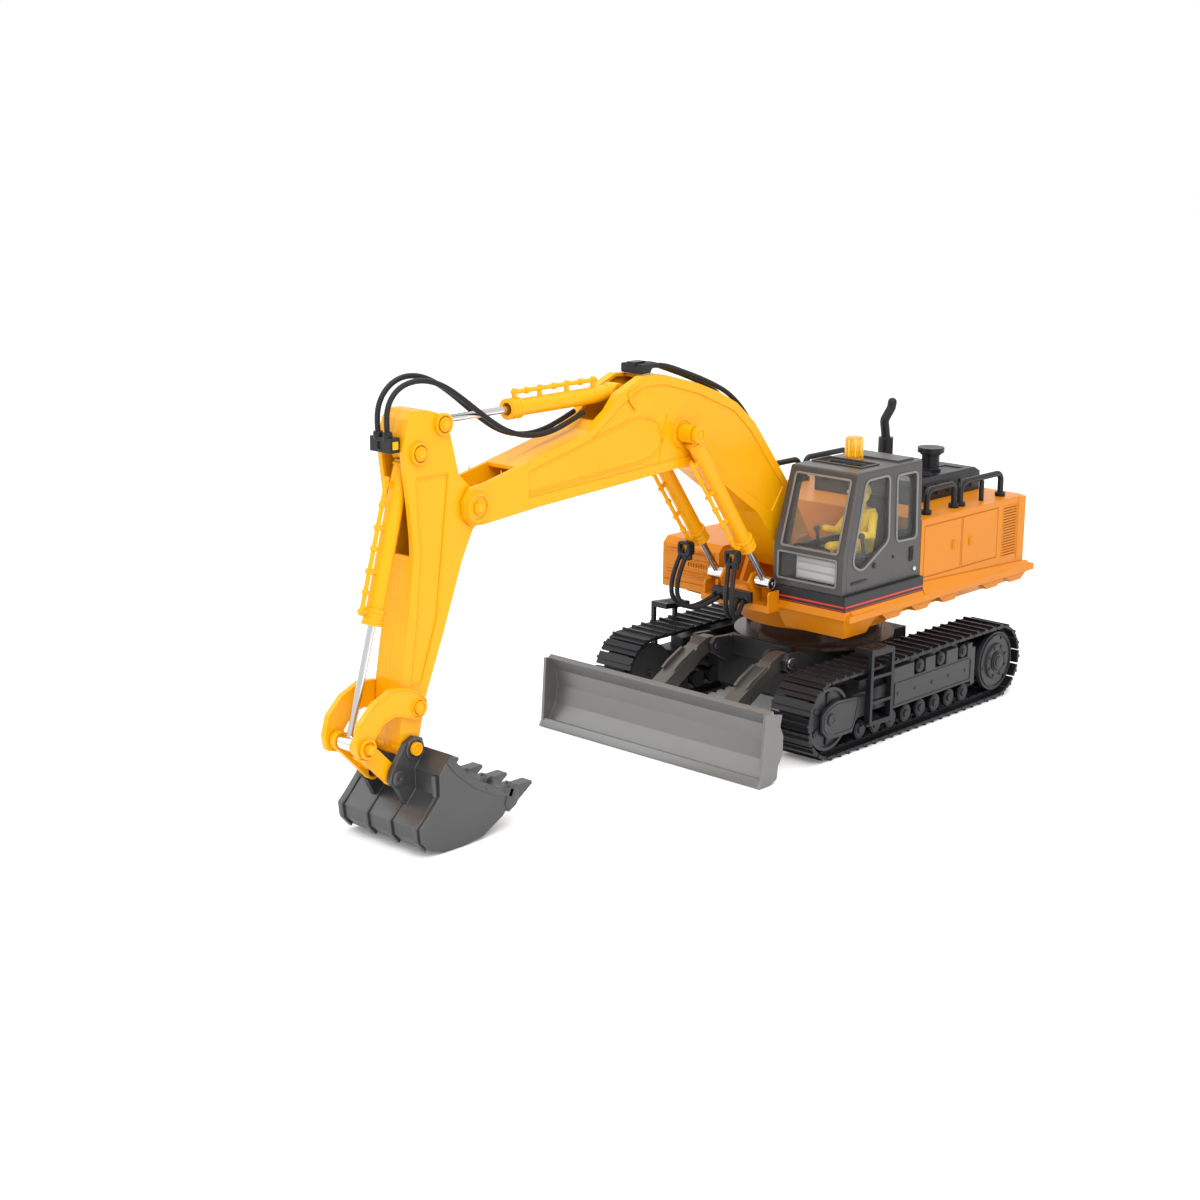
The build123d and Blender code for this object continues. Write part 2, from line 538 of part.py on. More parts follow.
def cab_shell():
    outer = cab_body(0.0)
    outer = fillet(outer.edges().filter_by(lambda edge: abs(edge.center().Z - CAB_ROOF_Z) < 1), 1.6)
    shell = outer - cab_body(CAB_WALL)
    for opening in cab_openings(0.0):
        shell -= opening
    shell += block((24, 63), (-7, 9.4), (CAB_ROOF_Z - 0.5, CAB_ROOF_Z + 1.2))
    return shell


def cab_windows():
    """Panes seated against the inside of the cab's walls."""
    layer = cab_body(CAB_WALL + 0.05) - cab_body(CAB_WALL + 0.95)
    return [layer & opening for opening in cab_openings(1.0)]


def operator_seat():
    pan = block((34, 58), (-34, -10), (99, 106))
    pan = fillet(pan.edges(), 2)
    back = plate([(-12, 104), (-7, 104), (0, 138), (-5, 140), (-8, 138)], (35, 57), 1.5)
    base = block((38, 54), (-30, -14), (CAB_BASE_Z + 2.05, 99.5))
    return pan + back + base


def control_console():
    """Floor console with two levers and an instrument binnacle."""
    console = block((27, 32), (-42, -14), (CAB_BASE_Z + 2.05, 110)) + block((60, 65), (-42, -14), (CAB_BASE_Z + 2.05, 110))
    console += block((27, 65), (-46, -42), (CAB_BASE_Z + 2.05, 93))
    for x in (29.5, 62.5):
        console += tube((x, -37, 109), (x, -40, 121), 1.1)
        console += Pos(x, -40.3, 122) * Sphere(2.0)
    binnacle = plate([(-62, 92), (-53, 92), (-51, 112), (-55, 115), (-58, 112)], (30, 46))
    return [console, binnacle]


def operator_figure():
    """Plain seated doll in a hard hat, without a face."""
    seat = 106.2
    torso = plate([(-28, seat), (-15, seat), (-11, 128), (-14, 134), (-22, 134), (-26, 126)], (39, 53), 2.0)
    neck = tube((46, -18, 132), (46, -19, 139), 2.8)
    head = Pos(46, -20, 142) * Sphere(5.6)
    hat = (Pos(46, -20, 143.5) * Sphere(6.4)) - block((30, 60), (-40, 0), (130, 143.5))
    brim = tube((46, -21.5, 143.2), (46, -21.5, 144.2), 7.2)
    limbs = []
    for side in (-1, 1):
        shoulder, elbow, hand = (46 + side * 8, -17, 130), (46 + side * 12.5, -25, 119), (46 + side * 14, -35, 121.5)
        hip, knee, foot = (46 + side * 4, -22, 110), (46 + side * 6.5, -39.5, 111.5), (46 + side * 6.5, -44, 98.5)
        for a, b, radius in ((shoulder, elbow, 2.6), (elbow, hand, 2.2), (hip, knee, 3.6), (knee, foot, 3.0)):
            limbs.append(tube(a, b, radius) + Pos(*b) * Sphere(radius) + Pos(*a) * Sphere(radius))
    figure = torso + neck + head + hat + brim
    for limb in limbs:
        figure += limb
    return figure


def beacon_lens():
    x, y = 35.5, -13.6
    base = post(x, y, (CAB_ROOF_Z + 0.05, CAB_ROOF_Z + 1.8), 5.9)
    dome = post(x, y, (CAB_ROOF_Z + 1.7, CAB_ROOF_Z + 13.2), 5.2)
    return base + fillet(dome.edges().group_by(Axis.Z)[-1], 1.0)


def drive_electronics():
    """Slew gear motor and the receiver board, inside the engine housing."""
    motor = post(0, 30, (DECK_TOP + 0.1, 103), 11) + block((-15, 15), (16, 44), (DECK_TOP + 0.1, 86))
    board = block((-34, 34), (62, 108), (92, 93.6))
    for x in (-28, 28):
        for y in (66, 104):
            board += post(x, y, (DECK_TOP + 0.1, 92.5), 2)
    board += block((-12, 8), (76, 92), (93, 96))
    return [motor, board]


def house_pins():
    foot = cross_rod(BOOM_FOOT, PIN_RADIUS, (-BOOM_HALF - 5, BOOM_HALF + 5))
    for end in both(cross_rod(BOOM_FOOT, PIN_RADIUS + 1, (BOOM_HALF + 0.3, BOOM_HALF + 4.4))):
        foot += end
    return [foot] + both(cross_rod(LIFT_FOOT, OPEN_PIN, (9.4, 24.2)))


def hose_manifold():
    bar = block((-15, 14), (NOSE_FRONT - 4.5, NOSE_FRONT - 0.05), (80.5, 86.5))
    bar = fillet(bar.edges().filter_by(Axis.Z), 1.6)
    for x in MANIFOLD_X:
        bar += tube((x, NOSE_FRONT - 3, 83.5), (x, MANIFOLD_FACE[0] + 1.0, MANIFOLD_FACE[1] + 0.4), 2.0)
    return bar


# ---- boom ----------------------------------------------------------------------------
BOOM_TOP_EDGE = [(-300, 181.5), (-259.3, 190.6), (-221.2, 199.4), (-207, 208.5), (-198.8, 217.2), (-180, 224.6),
                 (-160.8, 223.7), (-133, 216.5), (-114, 209.6), (-97.7, 201.7), (-80.8, 188.5), (-62.9, 167.3),
                 (-50.3, 152), (-34, 128), (-24, 112)]
BOOM_FOOT_EDGE = [(-22.4, 103), (-26, 95), (-34, 92), (-43, 95)]
BOOM_UNDERSIDE = [(-75.6, 134), (-97.4, 148.2), (-120, 163), (-133.2, 170), (-150.3, 170), (-203.7, 167),
                  (-259, 164), (-300, 160.5)]
BOOM_TIP = [(-309, 160.8), (-314.5, 166), (-315, 174), (-310, 180.5)]


def inner_outline(outline, wall):
    return offset(profile(outline), amount=-wall, kind=Kind.INTERSECTION)


def boom_half():
    """One moulded half of the boom, hollow, with a recessed panel on its outer face."""
    outline = BOOM_TOP_EDGE + BOOM_FOOT_EDGE + BOOM_UNDERSIDE + BOOM_TIP
    half = plate(outline, (0.02, BOOM_HALF))
    cavity = extrude(Plane.YZ * inner_outline(outline, WALL), amount=BOOM_HALF - BOOM_WALL, dir=(1, 0, 0))
    half -= cavity
    panel_outline = [(-268, 184), (-221, 194.5), (-196, 211), (-178, 219), (-161, 218.5), (-133, 211), (-100, 197.5),
                     (-84, 184), (-66, 163), (-52, 147), (-62, 133), (-96, 154), (-130, 175.5), (-150, 175.5),
                     (-204, 172.5), (-268, 169.5)]
    half -= plate(panel_outline, (BOOM_HALF - 0.7, BOOM_HALF + 1))
    half += cross_rod(LIFT_TOP, 8.2, (BOOM_HALF - 3, BOOM_HALF + 0.4))
    half += cross_rod(ARM_PIVOT, 8.4, (BOOM_HALF - 2.4, BOOM_HALF + 1.2))
    half -= block((-1, BOOM_HALF - BOOM_WALL), (-330, -276), (140, 200))
    half -= block((-1, 7.4), (-213, -172), (203.5, 240))
    half -= block((-1, 7.4), (-240, -205), (203.5, 240))
    half -= cross_rod(ARM_PIVOT, PIN_RADIUS + 1, (-1, BOOM_HALF + 2))
    half -= cross_rod(BOOM_FOOT, PIN_RADIUS + PIN_CLEAR, (-1, BOOM_HALF + 2))
    half -= cross_rod(CROWD_REAR, PIN_RADIUS, (-1, BOOM_HALF + 2))
    half -= cross_rod(LIFT_TOP, PIN_RADIUS, (-1, BOOM_HALF + 2))
    return half


def boom_pins():
    arm_pin = cross_rod(ARM_PIVOT, PIN_RADIUS, (-BOOM_HALF - 1, BOOM_HALF + 1))
    hexagon = [(ARM_PIVOT[0] + 3.6 * math.cos(math.radians(a)), ARM_PIVOT[1] + 3.6 * math.sin(math.radians(a)))
               for a in range(30, 390, 60)]
    for head in both(plate(hexagon, (BOOM_HALF + 1.25, BOOM_HALF + 2.8))):
        arm_pin += head
    for sleeve in both(cross_rod(ARM_PIVOT, PIN_RADIUS + 1, (ARM_HALF + 0.3, BOOM_HALF + 1.3))):
        arm_pin += sleeve
    lift_pin = cross_rod(LIFT_TOP, PIN_RADIUS, (-LIFT_X - 6, LIFT_X + 6))
    for cap in both(cross_rod(LIFT_TOP, 4.6, (LIFT_X + 5.3, LIFT_X + 7.6))):
        lift_pin += cap
    stubs = both(cross_rod(CROWD_REAR, PIN_RADIUS, (7.0, BOOM_HALF + 0.6)))
    return [arm_pin, lift_pin] + stubs


def boom_hose_clip():
    """Clip block on the boom's crown that gathers the hoses."""
    clip = block((-8.0, 8.0), (-175, -168), (224.9, 230.2))
    return fillet(clip.edges().filter_by(Axis.Y), 1.2) + block((-3, 3), (-176, -167.2), (229, 231.2))


# ---- cylinders -----------------------------------------------------------------------
def eye(centre, radius, x, bore):
    ring = cross_rod(centre, radius, x)
    return ring - cross_rod(centre, bore, (x[0] - 1, x[1] + 1))


def barrel(pin, far, length, x, bore_eye, pipe_side):
    """Cylinder barrel from its pin towards the far pin, with a side pipe held by two brackets."""
    def at(distance, side=0.0):
        y, z = point_along(pin, far, distance)
        run = math.dist(pin, far)
        ny, nz = -(far[1] - pin[1]) / run, (far[0] - pin[0]) / run
        return (x, y + side * ny, z + side * nz)
    body = tube(at(4.5), at(length), BARREL_RADIUS)
    body += tube(at(length - 7), at(length), BARREL_RADIUS + 0.6)
    body += tube(at(length - 1.2), at(length), BARREL_RADIUS + 1.0)
    body += cross_rod(pin, 5.2, (x - 4.4, x + 4.4))
    pipe = BARREL_RADIUS + 3.8
    body += tube(at(14, pipe_side * pipe), at(length - 4, pipe_side * pipe), 1.25)
    for share in (0.2, 0.45, 0.7, 0.93):
        body += tube(at(length * share), at(length * share, pipe_side * (pipe + 1.8)), 1.4)
    body -= tube(at(9.5), at(length + 1), BARREL_BORE)
    body -= cross_rod(pin, bore_eye, (x - 6, x + 6))
    return body


def rod(pin, far, length, x, bore_eye, tube_half):
    """Piston rod with a cross tube at its pin and a piston at its other end."""
    def at(distance):
        return (x, *point_along(pin, far, distance))
    body = tube(at(2), at(length), ROD_RADIUS)
    body += tube(at(length - 4), at(length), BARREL_BORE - PIN_CLEAR)
    body += cross_rod(pin, 3.8, (x - tube_half, x + tube_half))
    body -= cross_rod(pin, bore_eye, (x - tube_half - 1, x + tube_half + 1))
    return body


def hose_clip(pin, far, distance, x, side):
    """Black clip round the barrel's side pipe, where two hoses enter it."""
    y, z = point_along(pin, far, distance)
    run = math.dist(pin, far)
    ny, nz = -(far[1] - pin[1]) / run, (far[0] - pin[0]) / run
    reach = BARREL_RADIUS + 6.6
    return Pos(x, y + side * ny * reach, z + side * nz * reach) * Box(7.0, 3.6, 6.0)


# ---- arm, linkage and bucket ---------------------------------------------------------
ARM_OUTLINE = [(-349.4, 219.2), (-345.5, 223.2), (-337, 223), (-330.3, 221), (-322.2, 214), (-320, 205),
               (-315.5, 188), (-306, 179), (-299.5, 175), (-298, 168), (-301, 162), (-306, 158), (-313.5, 143.3),
               (-326.7, 108.2), (-339.8, 76), (-344.6, 55), (-346, 48.5), (-351, 46), (-356.5, 49), (-357.4, 56),
               (-356.3, 87.5), (-350.2, 123.3), (-347.1, 148.8), (-347.4, 160), (-349.6, 179.4), (-351.9, 195),
               (-353, 205.2), (-351.6, 211.5)]


def arm_half():
    half = plate(ARM_OUTLINE, (0.02, ARM_HALF))
    half -= extrude(Plane.YZ * inner_outline(ARM_OUTLINE, WALL), amount=ARM_HALF - WALL, dir=(1, 0, 0))
    half -= plate([(-345, 190), (-322, 190), (-331, 116), (-342, 84), (-350, 84), (-344.5, 122), (-342, 150)],
                  (ARM_HALF - 0.5, ARM_HALF + 1), 1.5)
    half -= block((-1, 6.6), (-380, -334.5), (150, 209))
    half -= plate([(-333, 203), (-300, 203), (-300, 240), (-333, 226)], (-1, 5.6))
    half += cross_rod(BUCKET_PIN, 6.3, (3, ARM_HALF))
    half += cross_rod(LEVER_PIN, 5.0, (3, ARM_HALF))
    half += cross_rod(CROWD_FRONT, 5.6, (ARM_HALF - 1, ARM_HALF + 1.0))
    half += cross_rod(CURL_TOP, 5.6, (ARM_HALF - 1, ARM_HALF + 1.0))
    half -= cross_rod(ARM_PIVOT, PIN_RADIUS + 1.1, (-1, BOOM_HALF))
    for pin in (BUCKET_PIN, LEVER_PIN, CROWD_FRONT, CURL_TOP):
        half -= cross_rod(pin, PIN_RADIUS, (-1, BOOM_HALF + 2))
    return half


def arm_pins():
    """Pins that stay with the arm, with their domed caps."""
    def capped(pin, reach, radius):
        shaft = cross_rod(pin, PIN_RADIUS, (-reach, reach))
        for cap in both(cross_rod(pin, radius, (reach - 1.6, reach))):
            shaft += cap
        return shaft
    pins = [capped(BUCKET_PIN, 15.0, 3.4), capped(LEVER_PIN, 15.0, 3.4), capped(CROWD_FRONT, 12.2, 3.6)]
    return pins + both(cross_rod(CURL_TOP, PIN_RADIUS, (6.7, 12.2)) + cross_rod(CURL_TOP, 3.6, (10.6, 12.2)))


def arm_hose_clip():
    clip = block((-7.5, 7.5), (-359.4, -353.3), (203.5, 211))
    return clip - block((-2, 2), (-361, -358.6), (205, 209))


def bucket_lever():
    crescent = [(-342.4, 71), (-342.4, 77), (-347, 81), (-355, 85), (-366, 86), (-378, 81), (-387, 72.5), (-390, 62),
                (-388.5, 54.5), (-382, 52.5), (-377.5, 57), (-377.5, 63), (-372, 69.5), (-364, 72), (-357, 70),
                (-350, 67.6), (-345, 68)]
    lever = plate(crescent, OUTER_X, 1.0)
    lever += cross_rod(LEVER_TIP, 5.0, (OUTER_X[0], OUTER_X[1] + 1.0))
    lever -= cross_rod(LEVER_PIN, PIN_RADIUS + PIN_CLEAR, (OUTER_X[0] - 1, OUTER_X[1] + 2))
    lever -= cross_rod(LEVER_TIP, 2.6, (OUTER_X[0] - 1, OUTER_X[1] + 2))
    return lever


def bucket_levers():
    """Both levers and the cross tube that joins their tips."""
    whole = cross_rod(LEVER_TIP, 2.6, (-17, 17))
    for side in both(bucket_lever()):
        whole += side
    return whole


def bucket_link():
    def cheek():
        bar = plate([(-385.5, 55.6), (-364.6, 35), (-359, 42.6), (-379.6, 63.2)], LINK_X)
        bar += cross_rod(LEVER_TIP, 4.8, LINK_X)
        bar += cross_rod(LINK_PIN, 4.8, LINK_X)
        return bar
    link = plate([(-377, 50), (-368.5, 41.8), (-365.5, 45), (-374, 53.2)], (-LINK_X[1], LINK_X[1]))
    for side in both(cheek()):
        link += side
    link -= cross_rod(LEVER_TIP, 2.6 + PIN_CLEAR, (-20, 20))
    link -= cross_rod(LINK_PIN, 3.5, (-20, 20))
    return link


BUCKET_OUTLINE = [(-343, 51.4), (-351, 42), (-350.5, 31), (-358.9, 22), (-364.6, 16.5), (-363.7, 9.4), (-359, 4.3),
                  (-349, 0.7), (-335, 0.4), (-321, 2), (-306.5, 9.5), (-302, 14), (-297.7, 22.5), (-311, 26.3),
                  (-325, 33.8), (-337, 43.7)]


def bucket():
    shell = plate(BUCKET_OUTLINE, (-BUCKET_HALF, BUCKET_HALF))
    cavity = [(-341.2, 51.5), (-349, 41.5), (-348.6, 30.2), (-357.4, 21.2), (-362.7, 15.8), (-361.9, 10), (-358, 6),
              (-348.6, 2.6), (-335, 2.3), (-321.5, 3.9), (-307.8, 11), (-303.7, 15), (-300, 21), (-290, 30),
              (-310, 60), (-335, 60)]
    shell -= plate(cavity, (-BUCKET_HALF + BUCKET_WALL, BUCKET_HALF - BUCKET_WALL))
    shell -= cross_rod(BUCKET_PIN, 12.8, (-ARM_HALF - 0.5, ARM_HALF + 0.5))
    ear = [(-345.5, 57), (-351, 58.6), (-357, 56), (-366.5, 43), (-367.5, 37.5), (-363, 33.2), (-357, 22.5),
           (-350.2, 31), (-349.5, 42), (-344.5, 49.5)]
    for side in both(plate(ear, OUTER_X, 1.0)):
        shell += side
    lip = plate([(-303.5, 14.5), (-300.5, 12), (-294, 21.5), (-297.7, 23.6)], (-BUCKET_HALF, BUCKET_HALF))
    shell += lip
    for side in both(cross_rod(BUCKET_PIN, PIN_RADIUS + PIN_CLEAR, (OUTER_X[0] - 1, OUTER_X[1] + 1))):
        shell -= side
    shell += cross_rod(LINK_PIN, 1.6, (-OUTER_X[1], OUTER_X[1]))
    tooth = [(-301.8, 13.3), (-300.4, 11.9), (-296.2, 14.5), (-284.8, 22), (-285, 23.6), (-296, 23.6)]
    for x in (-27.8, -9.3, 9.3, 27.8):
        shell += plate(tooth, (x - 3.6, x + 3.6))
    return shell


# ---- hoses ---------------------------------------------------------------------------
MANIFOLD_X = (-11.4, -7.2, 6.6, 10.8)
MANIFOLD_FACE = (-85.6, 81.4)
ARM_ROUTE = [(1.0, -357.6, 211.2, 0.0), (1.0, -358.6, 219.6, 0.0), (1.0, -356.6, 228.4, 0.1),
             (1.03, -350.4, 235.2, 0.45), (1.08, -341.6, 238.6, 0.9), (1.13, -331.6, 238.4, 1.0),
             (1.2, -321.0, 234.9, 1.0), (1.2, -309.8, 228.3, 1.0), (1.15, -298.8, 220.2, 0.7),
             (1.1, -287.5, 211.9, 0.3), (1.0, -275.5, 204.6, 0.0), (1.0, -261.5, 200.4, 0.0),
             (1.0, -247.0, 199.9, 0.0), (1.0, -232.0, 203.0, 0.0), (1.0, -217.5, 208.2, 0.0)]
ARM_HOSES = [[(x * spread, y, z - sag * share) for spread, y, z, share in ARM_ROUTE]
             for x, sag in ((-3.2, 0.0), (3.6, 1.8))]
BOOM_HOSES = [[(x, -167.9, 228.2), (x, -160.0, 228.6), (x, -150.0, 226.9), (x, -138.0, 223.0), (x, -124.0, 218.3),
               (x, -110.0, 212.9), (x, -97.0, 206.9), (x, -85.5, 198.4), (x, -75.5, 187.4), (x, -65.0, 174.5),
               (x, -54.5, 161.4)] for x in (-4.6, 4.6)]


def lift_hose(clip, side_step, manifold_x):
    """Hose hanging in a J from a boom cylinder's clip to the manifold on the front of the house."""
    x, y, z = clip
    x += side_step
    shares = [(0.0, 0.0), (-0.18, -8.6), (-0.32, -17.6), (-0.35, -27.5), (-0.15, -33.4), (0.18, -36.35),
              (0.55, -35.4), (1.0, MANIFOLD_FACE[1] - z)]
    return [(x + (manifold_x - x) * share, y + (MANIFOLD_FACE[0] - y) * share, z + drop) for share, drop in shares]


def hose(points):
    """Round hose along a route, every corner rounded as widely as its two runs allow."""
    corners = []
    for before, here, after in zip(points, points[1:], points[2:]):
        first, second = Vector(*here) - Vector(*before), Vector(*after) - Vector(*here)
        turn = math.radians(first.get_angle(second))
        corners.append(0.45 * min(first.length, second.length) / math.tan(turn / 2))
    path = FilletPolyline(*points, radius=corners)
    solid = sweep(Plane(origin=path @ 0, z_dir=path % 0) * Circle(HOSE_RADIUS), path)
    print("hose radii", [round(r, 1) for r in corners], "length", round(path.length, 1),
          "volume ratio", round(solid.volume / (math.pi * HOSE_RADIUS ** 2 * path.length), 3))
    return solid


# ---- write every piece ---------------------------------------------------------------
LIFT_LENGTH = math.dist(LIFT_TOP, LIFT_FOOT)
CROWD_LENGTH = math.dist(CROWD_REAR, CROWD_FRONT)
CURL_LENGTH = math.dist(CURL_TOP, LEVER_TIP)
LIFT_BARREL, CROWD_BARREL, CURL_BARREL = 92.0, 82.0, 88.0


def lift_clip_point(side):
    y, z = point_along(LIFT_TOP, LIFT_FOOT, LIFT_BARREL - 4)
    return (side * LIFT_X, y - 9.5, z - 10.2)


def write_undercarriage():
    frame = track_frame()
    ladder = step_ladder()
    save("chassis_frame", chassis_frame())
    save("belly_cover", belly_cover())
    save("power_switch", power_switch())
    save("battery_pack", battery_pack())
    save("track_frame_left", frame)
    save("track_frame_right", mirrored(frame))
    save("step_ladders", both(ladder))
    save("track_rollers", track_rollers())
    save("track_left", track_belt(1))
    save("track_right", track_belt(-1))
    for name, y, toothed in (("sprocket", SPROCKET_Y, True), ("idler", IDLER_Y, False)):
        wheel = running_wheel(y, toothed)
        save(f"{name}_left", wheel)
        save(f"{name}_right", mirrored(wheel))
    save("travel_motors", travel_motors())
    save("slew_ring", slew_ring())
    save("blade", blade())
    save("blade_arms", both(blade_arm()))
    save("blade_pins", both(blade_pin()))


def write_house():
    save("house_deck", house_deck())
    save("engine_housing", engine_housing())
    save("counterweight", counterweight())
    save("right_cabinet", right_cabinet())
    save("engine_hood", engine_hood())
    save("air_cleaner", air_cleaner())
    save("exhaust_stack", exhaust_stack())
    save("handrails", handrails())
    save("cab_skirt", cab_skirt())
    save("cab_shell", cab_shell())
    save("cab_windows", cab_windows())
    save("operator_seat", operator_seat())
    save("control_console", control_console())
    save("operator_figure", operator_figure())
    save("beacon_lens", beacon_lens())
    save("drive_electronics", drive_electronics())
    save("house_pins", house_pins())
    save("hose_manifold", hose_manifold())


def write_boom():
    half = boom_half()
    save("boom_shell_left", half)
    save("boom_shell_right", mirrored(half))
    save("boom_pins", boom_pins())
    save("boom_hose_clip", boom_hose_clip())
    tight = PIN_RADIUS + PIN_CLEAR
    lift = barrel(LIFT_TOP, LIFT_FOOT, LIFT_BARREL, LIFT_X, tight, -1)
    lift += hose_clip(LIFT_TOP, LIFT_FOOT, LIFT_BARREL - 4, LIFT_X, -1)
    lift_rod = rod(LIFT_FOOT, LIFT_TOP, LIFT_LENGTH - 20, LIFT_X, OPEN_EYE_BORE, 5.4)
    for name, solid in (("boom_barrel", lift), ("boom_rod", lift_rod)):
        save(f"{name}_left", solid)
        save(f"{name}_right", mirrored(solid))
    save("arm_barrel", barrel(CROWD_REAR, CROWD_FRONT, CROWD_BARREL, 0.0, OPEN_EYE_BORE, -1))
    save("arm_rod", rod(CROWD_FRONT, CROWD_REAR, CROWD_LENGTH - 40, 0.0, tight, 5.0))


def write_arm():
    half = arm_half()
    tip_bore = 2.6 + PIN_CLEAR
    save("arm_shell_left", half)
    save("arm_shell_right", mirrored(half))
    save("arm_pins", arm_pins())
    save("arm_hose_clip", arm_hose_clip())
    save("bucket_barrel", barrel(CURL_TOP, LEVER_TIP, CURL_BARREL, 0.0, PIN_RADIUS, -1))
    save("bucket_rod", rod(LEVER_TIP, CURL_TOP, CURL_LENGTH - 27, 0.0, tip_bore, 5.0))
    save("bucket_levers", bucket_levers())
    save("bucket_link", bucket_link())
    save("bucket", bucket())


def write_hoses():
    save("arm_hoses", [hose(route) for route in ARM_HOSES])
    save("boom_hoses", [hose(route) for route in BOOM_HOSES])
    for name, side, ends in (("left", 1, MANIFOLD_X[2:]), ("right", -1, MANIFOLD_X[:2])):
        routes = [lift_hose(lift_clip_point(side), step, x) for step, x in zip((-2.2, 2.2), ends)]
        save(f"lift_hoses_{name}", [hose(route) for route in routes])


write_undercarriage()
write_house()
write_boom()
write_arm()
write_hoses()
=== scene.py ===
import json
import math

import bpy
from mathutils import Matrix, Vector


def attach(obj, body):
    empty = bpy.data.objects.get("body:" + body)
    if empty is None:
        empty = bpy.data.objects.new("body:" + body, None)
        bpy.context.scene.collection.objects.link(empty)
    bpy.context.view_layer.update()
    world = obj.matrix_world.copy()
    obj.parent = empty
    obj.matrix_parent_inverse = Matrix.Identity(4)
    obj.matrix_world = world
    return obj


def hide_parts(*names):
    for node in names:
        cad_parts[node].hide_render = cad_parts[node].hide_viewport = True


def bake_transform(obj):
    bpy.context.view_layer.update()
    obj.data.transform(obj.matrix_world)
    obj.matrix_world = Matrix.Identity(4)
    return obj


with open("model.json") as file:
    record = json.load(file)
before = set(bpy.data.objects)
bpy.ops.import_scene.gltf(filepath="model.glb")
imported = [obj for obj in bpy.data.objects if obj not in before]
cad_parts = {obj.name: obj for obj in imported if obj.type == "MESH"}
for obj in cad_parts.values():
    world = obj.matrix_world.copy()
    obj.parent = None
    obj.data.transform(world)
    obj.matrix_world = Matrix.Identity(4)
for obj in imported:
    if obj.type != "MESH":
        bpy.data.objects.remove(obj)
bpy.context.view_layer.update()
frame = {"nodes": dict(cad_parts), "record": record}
SLOT_OF = {part["node"]: part["material_slot"] for part in frame["record"]["subparts"]}

bl_info = {
    "name": "Toy Excavator",
    "version": (1, 0, 0),
    "blender": (4, 5, 0),
    "location": "View3D > Sidebar > Excavator",
    "description": "Finishes, hoses, cab fittings and studio for a radio-controlled toy excavator",
    "category": "Object",
}

MM = 0.001
SLEW_Y = 127.235              # the slew axis stands this far behind the frame's origin, in millimetres


def at(x, y, z):
    """Frame position of a point given in millimetres from the ground under the slew axis."""
    return Vector((x, y + SLEW_Y, z)) * MM


class EXCAVATOR_PG_finishes(bpy.types.PropertyGroup):
    """Colours and surface values a user would change"""

    boom_yellow: bpy.props.FloatVectorProperty(
        name="Boom yellow", description="Moulded colour of the boom, arm and cylinder barrels",
        subtype="COLOR", size=3, min=0, max=1, default=(0.78, 0.345, 0.001))
    house_yellow: bpy.props.FloatVectorProperty(
        name="House yellow", description="Moulded colour of the deck, housing and cabinet",
        subtype="COLOR", size=3, min=0, max=1, default=(0.60, 0.195, 0.001))
    cab_grey: bpy.props.FloatVectorProperty(
        name="Cab grey", description="Colour of the cab shell",
        subtype="COLOR", size=3, min=0, max=1, default=(0.052, 0.048, 0.047))
    track_black: bpy.props.FloatVectorProperty(
        name="Track black", description="Colour of the tracks, chassis and blade arms",
        subtype="COLOR", size=3, min=0, max=1, default=(0.008, 0.008, 0.010))
    frame_grey: bpy.props.FloatVectorProperty(
        name="Frame grey", description="Colour of the track frames and wheels",
        subtype="COLOR", size=3, min=0, max=1, default=(0.026, 0.027, 0.029))
    bucket_grey: bpy.props.FloatVectorProperty(
        name="Bucket grey", description="Metallic paint on the bucket",
        subtype="COLOR", size=3, min=0, max=1, default=(0.075, 0.075, 0.078))
    blade_grey: bpy.props.FloatVectorProperty(
        name="Blade grey", description="Metallic paint on the dozer blade",
        subtype="COLOR", size=3, min=0, max=1, default=(0.17, 0.17, 0.168))
    # The edge radius also sets how wide the painted edge highlight spreads.
    edge_radius: bpy.props.FloatProperty(
        name="Edge radius", description="How far the mould rounds each edge",
        unit="LENGTH", min=0, default=0.0006)


class EXCAVATOR_PG_hoses(bpy.types.PropertyGroup):
    """Sizes of the hydraulic hoses"""

    radius: bpy.props.FloatProperty(
        name="Hose radius", description="Radius over the ribs", unit="LENGTH", min=0.0005, default=0.0015)
    rib_pitch: bpy.props.FloatProperty(
        name="Rib pitch", description="Distance from one rib to the next", unit="LENGTH", min=0.0004,
        default=0.0012)


class EXCAVATOR_PG_camera(bpy.types.PropertyGroup):
    """Where the studio camera stands"""

    place: bpy.props.FloatVectorProperty(
        name="Place", description="Camera position", subtype="XYZ", unit="LENGTH",
        default=(0.77383, -0.915685, 0.38524))
    azimuth: bpy.props.FloatProperty(
        name="Azimuth", description="Turn round the machine, from the front", subtype="ANGLE",
        default=math.radians(42.52))
    elevation: bpy.props.FloatProperty(
        name="Elevation", description="Height of the view above the horizon", subtype="ANGLE",
        default=math.radians(13.96))
    roll: bpy.props.FloatProperty(
        name="Roll", description="Turn of the picture", subtype="ANGLE", default=math.radians(0.56))
    lens: bpy.props.FloatProperty(
        name="Lens", description="Focal length on a 36 mm sensor, in millimetres", min=10, default=63.71)


def finishes():
    return bpy.context.scene.excavator_finishes


def hose_sizes():
    return bpy.context.scene.excavator_hoses


# ---- surface effects -------------------------------------------------------------------
def new_group(name, inputs, outputs):
    """Empty shader node group with named float or colour sockets."""
    group = bpy.data.node_groups.new(name, "ShaderNodeTree")
    for label, kind, value in inputs:
        socket = group.interface.new_socket(label, in_out="INPUT", socket_type=kind)
        socket.default_value = value
    for label, kind in outputs:
        group.interface.new_socket(label, in_out="OUTPUT", socket_type=kind)
    return group, group.nodes.new("NodeGroupInput"), group.nodes.new("NodeGroupOutput")


